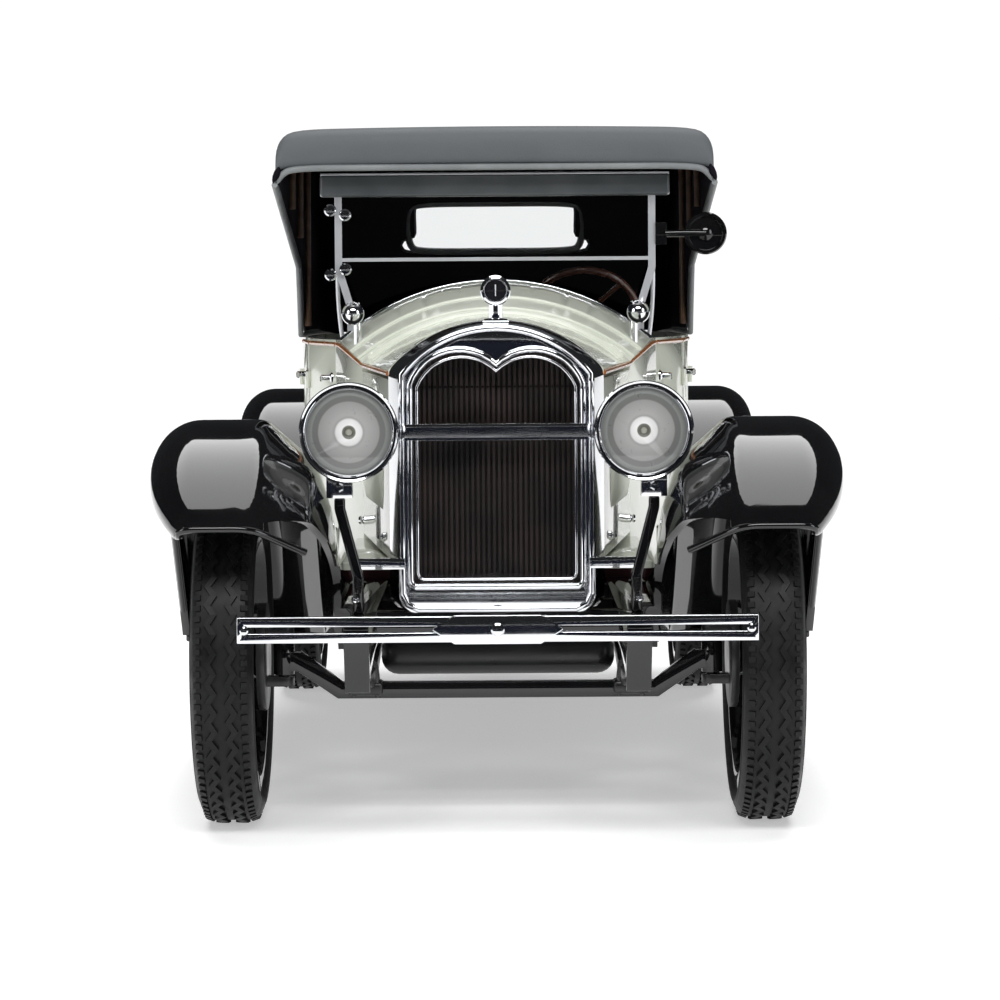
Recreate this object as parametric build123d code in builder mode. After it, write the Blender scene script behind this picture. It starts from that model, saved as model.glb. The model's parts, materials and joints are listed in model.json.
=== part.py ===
from build123d import *
import math
import os

os.makedirs("parts", exist_ok=True)

# Open touring car as a 1:18 die-cast display model, in millimetres.
# The car faces -Y and stands on Z = 0. X = 0 is its middle, and Y = 0 the middle of its length.

# Fits and clearances
wheel_bore_clearance = 0.06
panel_gap = 0.4
hub_gap = 0.4

# Wheels
track = 79.0
tyre_radius = 24.7
tyre_width = 9.2
tread_width = 6.6
rim_radius = 19.0
rim_thickness = 1.2
rim_width = 6.8
flange_height = 1.2
flange_width = 0.6
hub_radius = 3.2
hub_length = 7.0
hub_cap_radius = 2.3
hub_cap_height = 1.6
spindle_radius = 1.2
spindle_end_gap = 0.3
spoke_count = 12
spoke_foot_radius = 1.15
spoke_tip_radius = 0.8
spoke_root = 0.5
axle_z = tyre_radius

# Places along the car, its length summed from the bumper to the spare wheel's hub cap
bumper_reach = 36.0
wheelbase = 172.0
body_overhang = 30.0
spare_stand_off = 3.4
overall_length = (
    bumper_reach + wheelbase + body_overhang + spare_stand_off + hub_length + hub_cap_height
)
front_axle_y = bumper_reach - overall_length / 2
rear_axle_y = front_axle_y + wheelbase

# Chassis rails
rail_inside = 18.0
rail_outside = 21.5
rail_bottom = 26.4
rail_top = 31.4
rail_rear_y = rear_axle_y + body_overhang + 0.5
cross_member_depth = 4.4
cross_member_width = 4.0
horn_half_height = 2.2
iron_half_height = 1.6
rail_kick_bottom = 10.0
rail_kick_top = 12.0
hanger_overlap = 1.8

# Springs, one shape for all four
spring_width = 3.1
spring_half_span = 27.4
spring_end_top = 24.8
spring_end_thickness = 1.0
spring_mid_top = 23.2
spring_mid_thickness = 2.4
hanger_length = 2.6

# Front axle and steering
kingpin_x = 32.0
kingpin_boss_radius = 1.6
kingpin_boss_height = 5.4
axle_beam_height = 2.4
axle_beam_depth = 2.4
knuckle_fork_gap = 0.3
knuckle_lug_height = 1.4
brake_drum_radius = 8.0
brake_drum_width = 1.2
kingpin_radius = 0.8

# Front fenders: one section carried round the wheel, then straight down to the running board
front_fender_radius = 35.4
fender_sheet = 1.2
fender_outside = 50.8
front_fender_lip_angle = -53.0
front_fender_tail_angle = 45.0
fender_skirt = 7.9
running_board_top = 24.0
running_board_thickness = 1.6
front_fender_end_y = front_axle_y + 50.0

# Rear fenders
rear_fender_radius = 35.6
rear_fender_skirt = 10.0
rear_fender_tail_angle = 75.0
wheelhouse_x = 31.8
wheelhouse_opening = 9.6

# Body tub
body_front_y = front_axle_y + 58.0
body_rear_y = rear_axle_y + body_overhang
body_wall = 1.4
floor_top = 33.0
body_top = 71.0
body_corner_radius = 12.0
door_sill = 38.0
cowl_rear_y = front_axle_y + 76.0
cowl_front_crest = 75.6
cowl_rear_crest = 81.0
cowl_front_shoulder = 67.5
cowl_side_top = 60.0

# Radiator
radiator_half_width = 14.5
radiator_back_half = 16.1
radiator_front_y = front_axle_y - 4.0
radiator_rear_y = front_axle_y + 2.0
radiator_crest = 73.9
radiator_shoulder = 66.9
radiator_back_crest = 74.7
radiator_back_shoulder = 67.2
radiator_corner_radius = 2.6
radiator_border = 2.0
radiator_bottom_border = 4.2
fin_pitch = 0.79
fin_thickness = 0.4

# Bonnet
bonnet_sheet = 1.0
bonnet_bottom = 38.9
bonnet_half_gap = 0.5

# Headlamps
lamp_x = 21.6
lamp_z = 58.4
lamp_front_y = front_axle_y - 8.3
lamp_radius = 7.15
lamp_depth = 9.5

# Height of the soft top, which the windscreen header follows
top_height = 106.8

# Bumper
bumper_z = 32.0
bumper_half = 36.2
blade_height = 1.35
blade_gap = 0.9
blade_depth = 1.2
clamp_depth = 0.8

# Windscreen
screen_y = front_axle_y + 72.0
screen_post_x = 26.6
screen_header_bottom = top_height - 11.5
screen_header_top = top_height - 7.8
screen_header_half_width = 29.5
screen_bar = 1.2
glass_thickness = 0.8
divider_z = 84.6

# Soft top
top_front_y = front_axle_y + 66.0
top_rear_y = body_rear_y - 1.0
top_half_width = 37.25
top_wall = 1.3

# Body plan, as (station behind the front axle, half width)
BODY_PLAN = (
    (58.0, 22.2),
    (80.0, 27.6),
    (110.0, 34.0),
    (136.0, 36.4),
)

# Doors, as (name, front edge, rear edge behind the front axle)
DOORS = (
    ("front", 80.0, 109.0),
    ("rear", 112.0, 135.6),
)


def plan_half_width(station):
    """Half width of the body at a station behind the front axle."""
    for (y0, x0), (y1, x1) in zip(BODY_PLAN, BODY_PLAN[1:]):
        if y0 <= station <= y1:
            return x0 + (x1 - x0) * (station - y0) / (y1 - y0)
    return BODY_PLAN[-1][1]


def axle_y_at(station):
    return front_axle_y + station


def side_plane(x):
    """Plane across the car at x: its local axes are Y and Z, and it looks along +X."""
    return Plane(origin=(x, 0, 0), x_dir=(0, 1, 0), z_dir=(1, 0, 0))


def front_plane(y):
    """Plane facing the front at y: its local axes are X and Z, and it looks along -Y."""
    return Plane(origin=(0, y, 0), x_dir=(1, 0, 0), z_dir=(0, -1, 0))


def save(part, name):
    part.label = name
    export_step(part, f"parts/{name}.step")


# Chassis frame: two rails with front horns and bumper irons, cross members, spring hangers and
# two plinth bosses
horn_front_y = front_axle_y - spring_half_span - hanger_length
boss_height = 7.0
boss_radius = 3.0
plinth_screw_radius = 1.25
plinth_screw_depth = 6.0
boss_bottom = rail_top - cross_member_depth - boss_height
centre_member_station = 64.0
rear_member_station = 188.0
CROSS_MEMBERS = (0.0, centre_member_station, 132.0, rear_member_station)
PLINTH_BOSSES = (centre_member_station, rear_member_station)

blade_back_y = front_axle_y - bumper_reach + clamp_depth + blade_depth
with BuildPart() as chassis_frame:
    for side in (-1, 1):
        inner = side * rail_inside if side > 0 else -rail_outside
        with BuildSketch(side_plane(inner)):
            Polygon(
                (horn_front_y, spring_end_top - horn_half_height),
                (horn_front_y, spring_end_top + horn_half_height),
                (blade_back_y, bumper_z + iron_half_height),
                (blade_back_y, bumper_z - iron_half_height),
                align=None,
            )
        extrude(amount=rail_outside - rail_inside)
        with BuildSketch(side_plane(inner)):
            Polygon(
                (horn_front_y, spring_end_top - horn_half_height),
                (horn_front_y + hanger_length, spring_end_top - horn_half_height),
                (horn_front_y + hanger_length, spring_end_top),
                (front_axle_y - rail_kick_bottom, rail_bottom),
                (rail_rear_y, rail_bottom),
                (rail_rear_y, rail_top),
                (front_axle_y - rail_kick_top, rail_top),
                (horn_front_y, spring_end_top + horn_half_height),
                align=None,
            )
        extrude(amount=rail_outside - rail_inside)
        for hanger_y in (
            front_axle_y + spring_half_span,
            rear_axle_y - spring_half_span - hanger_length,
            rear_axle_y + spring_half_span,
        ):
            with BuildSketch(Plane.XY.offset(spring_end_top - hanger_overlap)):
                with Locations((side * (rail_inside + rail_outside) / 2, hanger_y + hanger_length / 2)):
                    Rectangle(spring_width, hanger_length)
            extrude(until=Until.NEXT)
    for station in CROSS_MEMBERS:
        with BuildSketch(Plane.XY.offset(rail_top - cross_member_depth)):
            with Locations((0, axle_y_at(station))):
                Rectangle(2 * rail_inside, cross_member_width)
        extrude(amount=cross_member_depth)
    for station in PLINTH_BOSSES:
        with BuildSketch(Plane.XY.offset(boss_bottom)):
            with Locations((0, axle_y_at(station))):
                Circle(boss_radius)
        extrude(amount=boss_height)
        with BuildSketch(Plane.XY.offset(boss_bottom)):
            with Locations((0, axle_y_at(station))):
                Circle(plinth_screw_radius)
        extrude(amount=plinth_screw_depth, mode=Mode.SUBTRACT)
save(chassis_frame.part, "chassis_frame")

# Leaf springs, two under each axle end
with BuildPart() as springs:
    for axle_y in (front_axle_y, rear_axle_y):
        for side in (-1, 1):
            spring_x = side * (rail_inside + rail_outside) / 2 - spring_width / 2
            with BuildSketch(side_plane(spring_x)):
                with BuildLine():
                    low = spring_end_top - spring_end_thickness
                    front_y = axle_y - spring_half_span
                    back_y = axle_y + spring_half_span
                    ThreePointArc(
                        (front_y, spring_end_top), (axle_y, spring_mid_top), (back_y, spring_end_top)
                    )
                    Line((back_y, spring_end_top), (back_y, low))
                    ThreePointArc(
                        (back_y, low), (axle_y, spring_mid_top - spring_mid_thickness), (front_y, low)
                    )
                    Line((front_y, low), (front_y, spring_end_top))
                make_face()
            extrude(amount=spring_width)
save(springs.part, "springs")

# Front axle: a dropped beam with a boss for each kingpin
beam_top = spring_mid_top - spring_mid_thickness
beam_bottom = beam_top - axle_beam_height
boss_low = axle_z - kingpin_boss_height / 2
beam_end_top = boss_low + 3.4
beam_end_bottom = boss_low + 0.6
beam_end_length = 2.6
beam_end_underside = 2.0
spring_pad_overhang = 1.6
beam_turn_outside = 2.4
with BuildPart() as front_axle:
    with BuildSketch(front_plane(front_axle_y + axle_beam_depth / 2)):
        with BuildLine():
            Polyline(
                (-kingpin_x, beam_end_top),
                (-kingpin_x + beam_end_length, beam_end_top),
                (-rail_outside - spring_pad_overhang, beam_top),
                (rail_outside + spring_pad_overhang, beam_top),
                (kingpin_x - beam_end_length, beam_end_top),
                (kingpin_x, beam_end_top),
                (kingpin_x, beam_end_bottom),
                (kingpin_x - beam_end_underside, beam_end_bottom),
                (rail_outside + beam_turn_outside, beam_bottom),
                (-rail_outside - beam_turn_outside, beam_bottom),
                (-kingpin_x + beam_end_underside, beam_end_bottom),
                (-kingpin_x, beam_end_bottom),
                close=True,
            )
        make_face()
    extrude(amount=axle_beam_depth)
    for side in (-1, 1):
        with BuildSketch(Plane.XY.offset(boss_low)):
            with Locations((side * kingpin_x, front_axle_y)):
                Circle(kingpin_boss_radius)
        extrude(amount=kingpin_boss_height)
        with BuildSketch(Plane.XY.offset(boss_low)):
            with Locations((side * kingpin_x, front_axle_y)):
                Circle(kingpin_radius + wheel_bore_clearance)
        extrude(amount=kingpin_boss_height, mode=Mode.SUBTRACT)
save(front_axle.part, "front_axle")

# Rear axle: casing, differential, torque tube and fixed brake drums
rear_tube_radius = axle_z - spring_mid_top
differential_radius = 5.6
torque_tube_radius = 1.5
torque_tube_front_y = axle_y_at(centre_member_station) + boss_radius + 2.0
drum_inside_x = track / 2 - hub_length / 2 - hub_gap - brake_drum_width
with BuildPart() as rear_axle:
    with BuildSketch(side_plane(-drum_inside_x)):
        with Locations((rear_axle_y, axle_z)):
            Circle(rear_tube_radius)
    extrude(amount=2 * drum_inside_x)
    with Locations((0, rear_axle_y, axle_z)):
        Sphere(differential_radius)
    with BuildSketch(Plane.XZ.offset(-torque_tube_front_y)):
        with Locations((0, axle_z)):
            Circle(torque_tube_radius)
    extrude(amount=-(rear_axle_y - torque_tube_front_y))
    for side in (-1, 1):
        with BuildSketch(side_plane(side * drum_inside_x)):
            with Locations((rear_axle_y, axle_z)):
                Circle(brake_drum_radius)
        extrude(amount=side * brake_drum_width)
        with BuildSketch(side_plane(side * (drum_inside_x + brake_drum_width))):
            with Locations((rear_axle_y, axle_z)):
                Circle(spindle_radius)
        extrude(amount=side * (hub_length + hub_gap - spindle_end_gap))
save(rear_axle.part, "rear_axle")

# Engine and gearbox as one plain block, on arms to the rails
engine_front_y = axle_y_at(14.0)
engine_rear_y = axle_y_at(57.6)
engine_width = 16.0
engine_top = 58.0
sump_width = 12.0
sump_bottom = 24.0
engine_arm_top = 31.0
engine_arm_height = 2.0
engine_arm_width = 4.0
engine_arm_inset = 8.0
with BuildPart() as engine_block:
    with BuildSketch(Plane.XY.offset(rail_top)):
        with Locations((0, (engine_front_y + engine_rear_y) / 2)):
            Rectangle(engine_width, engine_rear_y - engine_front_y)
    extrude(amount=engine_top - rail_top)
    with BuildSketch(Plane.XY.offset(sump_bottom)):
        with Locations((0, (engine_front_y + engine_rear_y) / 2)):
            Rectangle(sump_width, engine_rear_y - engine_front_y)
    extrude(amount=rail_top - sump_bottom)
    with BuildSketch(Plane.XY.offset(engine_arm_top - engine_arm_height)):
        with Locations((0, engine_front_y + engine_arm_inset), (0, engine_rear_y - engine_arm_inset)):
            Rectangle(2 * rail_inside, engine_arm_width)
    extrude(amount=engine_arm_height)
save(engine_block.part, "engine_block")

# Exhaust pipe and silencer under the cross members
exhaust_x = 12.0
exhaust_radius = 1.2
silencer_radius = 2.8
exhaust_front_y = axle_y_at(46.0)
exhaust_length = 110.0
silencer_front_y = axle_y_at(84.0)
silencer_length = 34.0
exhaust_z = rail_top - cross_member_depth - exhaust_radius
with BuildPart() as exhaust:
    with BuildSketch(Plane.XZ.offset(-exhaust_front_y)):
        with Locations((exhaust_x, exhaust_z)):
            Circle(exhaust_radius)
    extrude(amount=-exhaust_length)
    with BuildSketch(Plane.XZ.offset(-silencer_front_y)):
        with Locations((exhaust_x, exhaust_z)):
            Circle(silencer_radius)
    extrude(amount=-silencer_length)
save(exhaust.part, "exhaust")

# Fuel tank between the rails at the back
tank_bottom = 24.0
tank_length = 8.0
tank_corner = 2.0
tank_y = body_rear_y - 5.5
with BuildPart() as fuel_tank:
    with BuildSketch(side_plane(-rail_inside)):
        with Locations((tank_y, (tank_bottom + rail_top) / 2)):
            RectangleRounded(tank_length, rail_top - tank_bottom, tank_corner)
    extrude(amount=2 * rail_inside)
save(fuel_tank.part, "fuel_tank")


# One spoked wheel about the Z axis, its outer face upwards, drawn as (radius, height) for the rim
rim_half = rim_width / 2
rim_inside = rim_radius - rim_thickness
flange_radius = rim_radius + flange_height
with BuildPart() as wheel:
    with BuildSketch(Plane.XZ):
        Polygon(
            (rim_inside, -rim_half - flange_width),
            (flange_radius, -rim_half - flange_width),
            (flange_radius, -rim_half),
            (rim_radius, -rim_half),
            (rim_radius, rim_half),
            (flange_radius, rim_half),
            (flange_radius, rim_half + flange_width),
            (rim_inside, rim_half + flange_width),
            align=None,
        )
        Polygon(
            (spindle_radius + wheel_bore_clearance, -hub_length / 2),
            (hub_radius, -hub_length / 2),
            (hub_radius, hub_length / 2),
            (hub_cap_radius, hub_length / 2),
            (hub_cap_radius, hub_length / 2 + hub_cap_height),
            (0, hub_length / 2 + hub_cap_height),
            (0, hub_length / 2),
            (spindle_radius + wheel_bore_clearance, hub_length / 2),
            align=None,
        )
    revolve(axis=Axis.Z)
    with PolarLocations(hub_radius - spoke_root, spoke_count, start_angle=180.0 / spoke_count):
        Cone(
            spoke_foot_radius, spoke_tip_radius, rim_inside - hub_radius + 2 * spoke_root,
            rotation=(0, 90, 0), align=(Align.CENTER, Align.CENTER, Align.MIN),
        )

# One balloon tyre, seated on the rim
tyre_shoulder = tyre_radius - 1.2
tread_half = tread_width / 2
shoulder_flare = 0.5
tread_edge_radius = tyre_radius - 0.4
tread_edge = tread_half - 0.4
sidewall_radius = rim_radius + 2.9
with BuildPart() as tyre:
    with BuildSketch(Plane.XZ):
        with BuildLine():
            Polyline(
                (flange_radius, -rim_half), (rim_radius, -rim_half),
                (rim_radius, rim_half), (flange_radius, rim_half),
            )
            for half in (-1, 1):
                ThreePointArc(
                    (flange_radius, half * rim_half),
                    (sidewall_radius, half * tyre_width / 2),
                    (tyre_shoulder, half * (tread_half + shoulder_flare)),
                )
                Line(
                    (tyre_shoulder, half * (tread_half + shoulder_flare)),
                    (tread_edge_radius, half * tread_edge),
                )
            ThreePointArc(
                (tread_edge_radius, tread_edge),
                (tyre_radius, 0),
                (tread_edge_radius, -tread_edge),
            )
        make_face()
    revolve(axis=Axis.Z)

# Four running wheels, each turning on its spindle
WHEELS = (
    ("front_left", 1, front_axle_y),
    ("front_right", -1, front_axle_y),
    ("rear_left", 1, rear_axle_y),
    ("rear_right", -1, rear_axle_y),
)
for wheel_name, side, wheel_y in WHEELS:
    wheel_plane = Plane(
        origin=(side * track / 2, wheel_y, axle_z), x_dir=(0, 1, 0), z_dir=(side, 0, 0)
    )
    save(wheel.part.moved(wheel_plane.location), f"wheel_{wheel_name}")
    save(tyre.part.moved(wheel_plane.location), f"tyre_{wheel_name}")

# Steering knuckles: a fork on the kingpin, a brake drum and the wheel spindle
knuckle_plate_x = track / 2 - hub_length / 2 - hub_gap - brake_drum_width
fork_low = boss_low - knuckle_fork_gap - knuckle_lug_height
fork_high = boss_low + kingpin_boss_height + knuckle_fork_gap
for knuckle_name, side in (("left", 1), ("right", -1)):
    with BuildPart() as knuckle:
        with BuildSketch(side_plane(side * knuckle_plate_x)):
            with Locations((front_axle_y, axle_z)):
                Circle(brake_drum_radius)
        extrude(amount=side * brake_drum_width)
        with BuildSketch(side_plane(side * (knuckle_plate_x + brake_drum_width))):
            with Locations((front_axle_y, axle_z)):
                Circle(spindle_radius)
        extrude(amount=side * (hub_length + hub_gap - spindle_end_gap))
        for lug_z in (fork_low, fork_high):
            with BuildSketch(Plane.XY.offset(lug_z)):
                with Locations((side * kingpin_x, front_axle_y)):
                    Circle(kingpin_boss_radius)
                with Locations((side * (kingpin_x + knuckle_plate_x) / 2, front_axle_y)):
                    Rectangle(knuckle_plate_x - kingpin_x, 2 * kingpin_boss_radius)
            extrude(amount=knuckle_lug_height)
        with BuildSketch(Plane.XY.offset(fork_low)):
            with Locations((side * kingpin_x, front_axle_y)):
                Circle(kingpin_radius)
        extrude(amount=fork_high + knuckle_lug_height - fork_low)
    save(knuckle.part, f"knuckle_{knuckle_name}")

# Spare wheel on the back of the body
spare_z = 48.0
spare_y = body_rear_y + spare_stand_off + hub_length / 2
spare_plane = Plane(origin=(0, spare_y, spare_z), x_dir=(1, 0, 0), z_dir=(0, 1, 0))
spare_carrier_radius = 5.0
save(wheel.part.moved(spare_plane.location), "spare_wheel")
save(tyre.part.moved(spare_plane.location), "spare_tyre")
with BuildPart() as spare_carrier:
    with BuildSketch(Plane.XZ.offset(-body_rear_y)):
        with Locations((0, spare_z)):
            Circle(spare_carrier_radius)
    extrude(amount=-(spare_y - hub_length / 2 - body_rear_y))
    with BuildSketch(Plane.XZ.offset(-(spare_y - hub_length / 2))):
        with Locations((0, spare_z)):
            Circle(spindle_radius)
    extrude(amount=-hub_length)
save(spare_carrier.part, "spare_carrier")

# Front fenders: crown, skirt and inner slope turned about the axle, then straight down to the
# running board, with a domed nose that draws in towards its lip
crown_inside = 34.5
crown_width = fender_outside - crown_inside
skirt_corner = 0.4 * crown_width
crown_corner = 0.18 * crown_width
slope_corner = 3.0
inner_wall_x = rail_outside + 1.9
inner_wall_station = 19.0
inner_wall_length = 58.0
inner_flange_length = 50.0
inner_flange_height = 2.0
fender_tail_length = 44.0
arch_foot_station = 5.0
trim_bottom = rail_bottom - 2.0


def front_section(draw_in=0.0, skirt=fender_skirt, corner=skirt_corner):
    """Centre line of the fender sheet as (x, radius): skirt, crown, then the slope to the rail."""
    crown = front_fender_radius - fender_sheet / 2
    outside = fender_outside - fender_sheet / 2 - draw_in
    points = (
        (outside, front_fender_radius - skirt),
        (outside, crown),
        (crown_inside, crown),
        (30.5, front_fender_radius - 4.2),
        (27.3, front_fender_radius - 6.8),
        (25.2, front_fender_radius - 13.9),
        (24.0, 11.0),
    )
    return points, (corner, crown_corner, slope_corner, slope_corner, slope_corner)


# Nose sections, as (angle back from straight up, draw-in, depth of skirt, corner radius)
NOSE = (
    (front_fender_lip_angle, 0.32 * crown_width, 3.0, 1.9),
    (-46.0, 0.19 * crown_width, 4.6, 3.4),
    (-37.0, 0.09 * crown_width, 6.2, 4.9),
    (-27.0, 0.03 * crown_width, 7.3, 6.0),
    (-15.0, 0.0, fender_skirt, skirt_corner),
)


def radial_plane(axle_y, angle):
    """Plane through the axle line at an angle back from straight up: local X across, local Y out."""
    turn = math.radians(angle)
    return Plane(
        origin=(0, axle_y, axle_z), x_dir=(1, 0, 0), z_dir=(0, -math.cos(turn), math.sin(turn))
    )


def fender_profile(plane, section, side):
    points, radii = section
    with BuildSketch(plane) as profile:
        with BuildLine():
            FilletPolyline(*[(side * x, r) for x, r in points], radius=radii)
        trace(line_width=fender_sheet)
    return profile.sketch


nose_angle = NOSE[-1][0]
nose_reach = front_fender_radius * math.sin(math.radians(-front_fender_lip_angle))
nose_low = axle_z + front_fender_radius * math.cos(math.radians(-front_fender_lip_angle))
trim_reach = front_fender_radius + 15.0
plate_top = bonnet_bottom - 0.7
tail_turn = math.radians(front_fender_tail_angle)
tail_direction = (0, math.cos(tail_turn), -math.sin(tail_turn))
for fender_name, side in (("left", 1), ("right", -1)):
    with BuildPart() as fender:
        loft([
            fender_profile(radial_plane(front_axle_y, angle), front_section(*shape), side)
            for angle, *shape in NOSE
        ])
        revolve(
            fender_profile(radial_plane(front_axle_y, nose_angle), front_section(), side),
            axis=Axis((0, front_axle_y, axle_z), (-1, 0, 0)),
            revolution_arc=front_fender_tail_angle - nose_angle,
        )
        tail_plane = radial_plane(front_axle_y, front_fender_tail_angle)
        extrude(
            fender_profile(tail_plane, front_section(), side), amount=fender_tail_length, dir=tail_direction
        )
        # Inner wall carried forward and down to the rail
        with BuildSketch(side_plane(side * inner_wall_x)):
            with Locations((axle_y_at(inner_wall_station), (rail_bottom + plate_top) / 2)):
                Rectangle(inner_wall_length, plate_top - rail_bottom)
        extrude(amount=side * fender_sheet)
        with BuildSketch(side_plane(side * rail_outside)):
            with Locations((axle_y_at(inner_wall_station), rail_top - inner_flange_height / 2)):
                Rectangle(inner_flange_length, inner_flange_height)
        extrude(amount=side * (inner_wall_x - rail_outside))
        # Front edge of the inner wall, an arch from the lip down to the rail
        with BuildSketch(side_plane(side * (crown_inside - 1.5))):
            with BuildLine():
                Spline(
                    (axle_y_at(-nose_reach), nose_low),
                    (axle_y_at(-22.4), nose_low + 0.4),
                    (axle_y_at(-19.1), nose_low - 0.2),
                    (axle_y_at(-11.5), 42.6),
                    (axle_y_at(-1.0), 37.9),
                    (axle_y_at(arch_foot_station), trim_bottom),
                )
                Polyline(
                    (axle_y_at(arch_foot_station), trim_bottom), (axle_y_at(-trim_reach), trim_bottom),
                    (axle_y_at(-trim_reach), nose_low), (axle_y_at(-nose_reach), nose_low),
                )
            make_face()
        extrude(amount=-side * 20.0, mode=Mode.SUBTRACT)
        # Cut level with the running board and square at its end
        with BuildSketch(Plane.XY.offset(running_board_top)):
            with Locations((side * (inner_wall_x + fender_outside) / 2, front_axle_y)):
                Rectangle(fender_outside, 5 * front_fender_radius)
        extrude(amount=-running_board_top, mode=Mode.SUBTRACT)
        with BuildSketch(front_plane(front_fender_end_y + front_fender_radius)):
            with Locations((side * (inner_wall_x + fender_outside) / 2, axle_z)):
                Rectangle(fender_outside, 4 * axle_z)
        extrude(amount=front_fender_radius, mode=Mode.SUBTRACT)
    save(fender.part, f"front_fender_{fender_name}")

# Rear fenders with the inner wheelhouse wall
rear_section = (
    (fender_outside - fender_sheet / 2, rear_fender_radius - rear_fender_skirt),
    (fender_outside - fender_sheet / 2, rear_fender_radius - fender_sheet / 2),
    (wheelhouse_x, rear_fender_radius - fender_sheet / 2),
    (wheelhouse_x, wheelhouse_opening),
)
rear_section_radii = (0.32 * (fender_outside - wheelhouse_x), 1.0)
for fender_name, side in (("left", 1), ("right", -1)):
    with BuildPart() as fender:
        front_profile = fender_profile(
            radial_plane(rear_axle_y, -90.0), (rear_section, rear_section_radii), side
        )
        revolve(
            front_profile, axis=Axis((0, rear_axle_y, axle_z), (-1, 0, 0)),
            revolution_arc=90.0 + rear_fender_tail_angle,
        )
    save(fender.part, f"rear_fender_{fender_name}")

# Running boards and the splash aprons up to the rails
apron_x = 29.0
board_front_y = axle_y_at(45.0)
board_step_y = front_fender_end_y + 1.0
board_rear_y = axle_y_at(138.0)
with BuildPart() as running_boards:
    for side in (-1, 1):
        with BuildSketch(front_plane(board_rear_y)):
            with BuildLine():
                Polyline(
                    (side * rail_outside, rail_top),
                    (side * (apron_x + fender_sheet), rail_top),
                    (side * (apron_x + fender_sheet), running_board_top),
                    (side * fender_outside, running_board_top),
                    (side * fender_outside, running_board_top - running_board_thickness),
                    (side * apron_x, running_board_top - running_board_thickness),
                    (side * apron_x, rail_top - fender_sheet),
                    (side * rail_outside, rail_top - fender_sheet),
                    close=True,
                )
            make_face()
        extrude(amount=board_rear_y - front_fender_end_y - 0.5)
        with BuildSketch(Plane.XY.offset(running_board_top)):
            with Locations((side * (apron_x + fender_outside) / 2, (board_front_y + board_step_y) / 2)):
                Rectangle(fender_outside - apron_x, board_step_y - board_front_y)
        extrude(amount=-running_board_thickness)
save(running_boards.part, "running_boards")


def body_outline(height, shrink=0.0):
    """Plan of the body at a height, drawn inwards by shrink."""
    sides = [(plan_half_width(station), axle_y_at(station)) for station, _ in BODY_PLAN]
    right = sides + [(BODY_PLAN[-1][1], body_rear_y)]
    left = [(-x, y) for x, y in reversed(right)]
    with BuildSketch(Plane.XY.offset(height)) as outline:
        Polygon(*right, *left, align=None)
        fillet(outline.vertices().group_by(Axis.Y)[-1], radius=body_corner_radius)
        if shrink:
            offset(amount=-shrink, kind=Kind.INTERSECTION)
    return outline.sketch


def cowl_section(y, half_width, bottom, shoulder, crest, shrink=0.0):
    """Arched cross-section of the cowl."""
    half = half_width - shrink
    with BuildSketch(front_plane(y)) as section:
        with BuildLine():
            Polyline((-half, shoulder - shrink), (-half, bottom), (half, bottom), (half, shoulder - shrink))
            ThreePointArc((half, shoulder - shrink), (0, crest - shrink), (-half, shoulder - shrink))
        make_face()
    return section.sketch


# Floorboards over the rails, notched round the wheelhouses
floor_bottom = rail_top
wheelhouse_inside = wheelhouse_x - fender_sheet / 2
notch_width = 20.0
with BuildPart() as floorboards:
    extrude(body_outline(floor_bottom), amount=floor_top - floor_bottom)
    with BuildSketch(Plane.XY.offset(floor_bottom)):
        for side in (-1, 1):
            with Locations((side * (wheelhouse_inside + notch_width / 2), rear_axle_y)):
                Rectangle(notch_width, 2 * rear_fender_radius)
    extrude(amount=floor_top - floor_bottom, mode=Mode.SUBTRACT)
save(floorboards.part, "floorboards")

# Body tub: cowl, side walls and rear panel, open to the doors
cowl_half_front = plan_half_width(body_front_y - front_axle_y)
cowl_half_rear = plan_half_width(cowl_rear_y - front_axle_y)
body_trim_width = 3 * BODY_PLAN[-1][1]
body_trim_height = top_height - cowl_side_top
with BuildPart() as body_tub:
    extrude(body_outline(floor_top), amount=body_top - floor_top)
    with BuildSketch(Plane.XY.offset(cowl_front_shoulder)):
        with Locations((0, (body_front_y + cowl_rear_y) / 2)):
            Rectangle(body_trim_width, cowl_rear_y - body_front_y)
    extrude(amount=body_trim_height, mode=Mode.SUBTRACT)
    loft([
        cowl_section(body_front_y, cowl_half_front, cowl_side_top, cowl_front_shoulder, cowl_front_crest),
        cowl_section(cowl_rear_y, cowl_half_rear, cowl_side_top, body_top, cowl_rear_crest),
    ])
    extrude(body_outline(floor_top, body_wall), amount=cowl_side_top - floor_top, mode=Mode.SUBTRACT)
    with BuildSketch(Plane.XY.offset(cowl_side_top)):
        add(body_outline(0.0, body_wall))
        with Locations((0, cowl_rear_y - body_trim_width / 2)):
            Rectangle(body_trim_width, body_trim_width, mode=Mode.SUBTRACT)
    extrude(amount=body_trim_height, mode=Mode.SUBTRACT)
    loft([
        cowl_section(
            body_front_y + body_wall, cowl_half_front + 0.3, cowl_side_top - 1.0,
            cowl_front_shoulder + 0.3, cowl_front_crest + 0.4, body_wall,
        ),
        cowl_section(
            cowl_rear_y, cowl_half_rear, cowl_side_top - 1.0, body_top, cowl_rear_crest, body_wall,
        ),
    ], mode=Mode.SUBTRACT)
    # Wheelhouse cut, following the rear fenders
    for side in (-1, 1):
        with BuildSketch(side_plane(side * wheelhouse_inside)):
            with Locations((rear_axle_y, axle_z)):
                Circle(rear_fender_radius)
        extrude(amount=side * notch_width, mode=Mode.SUBTRACT)
    # Door openings
    for door_name, door_front, door_rear in DOORS:
        with BuildSketch(Plane.XY.offset(door_sill)):
            with Locations((0, axle_y_at((door_front + door_rear) / 2))):
                Rectangle(body_trim_width, door_rear - door_front)
        extrude(amount=body_trim_height, mode=Mode.SUBTRACT)
save(body_tub.part, "body_tub")

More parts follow.
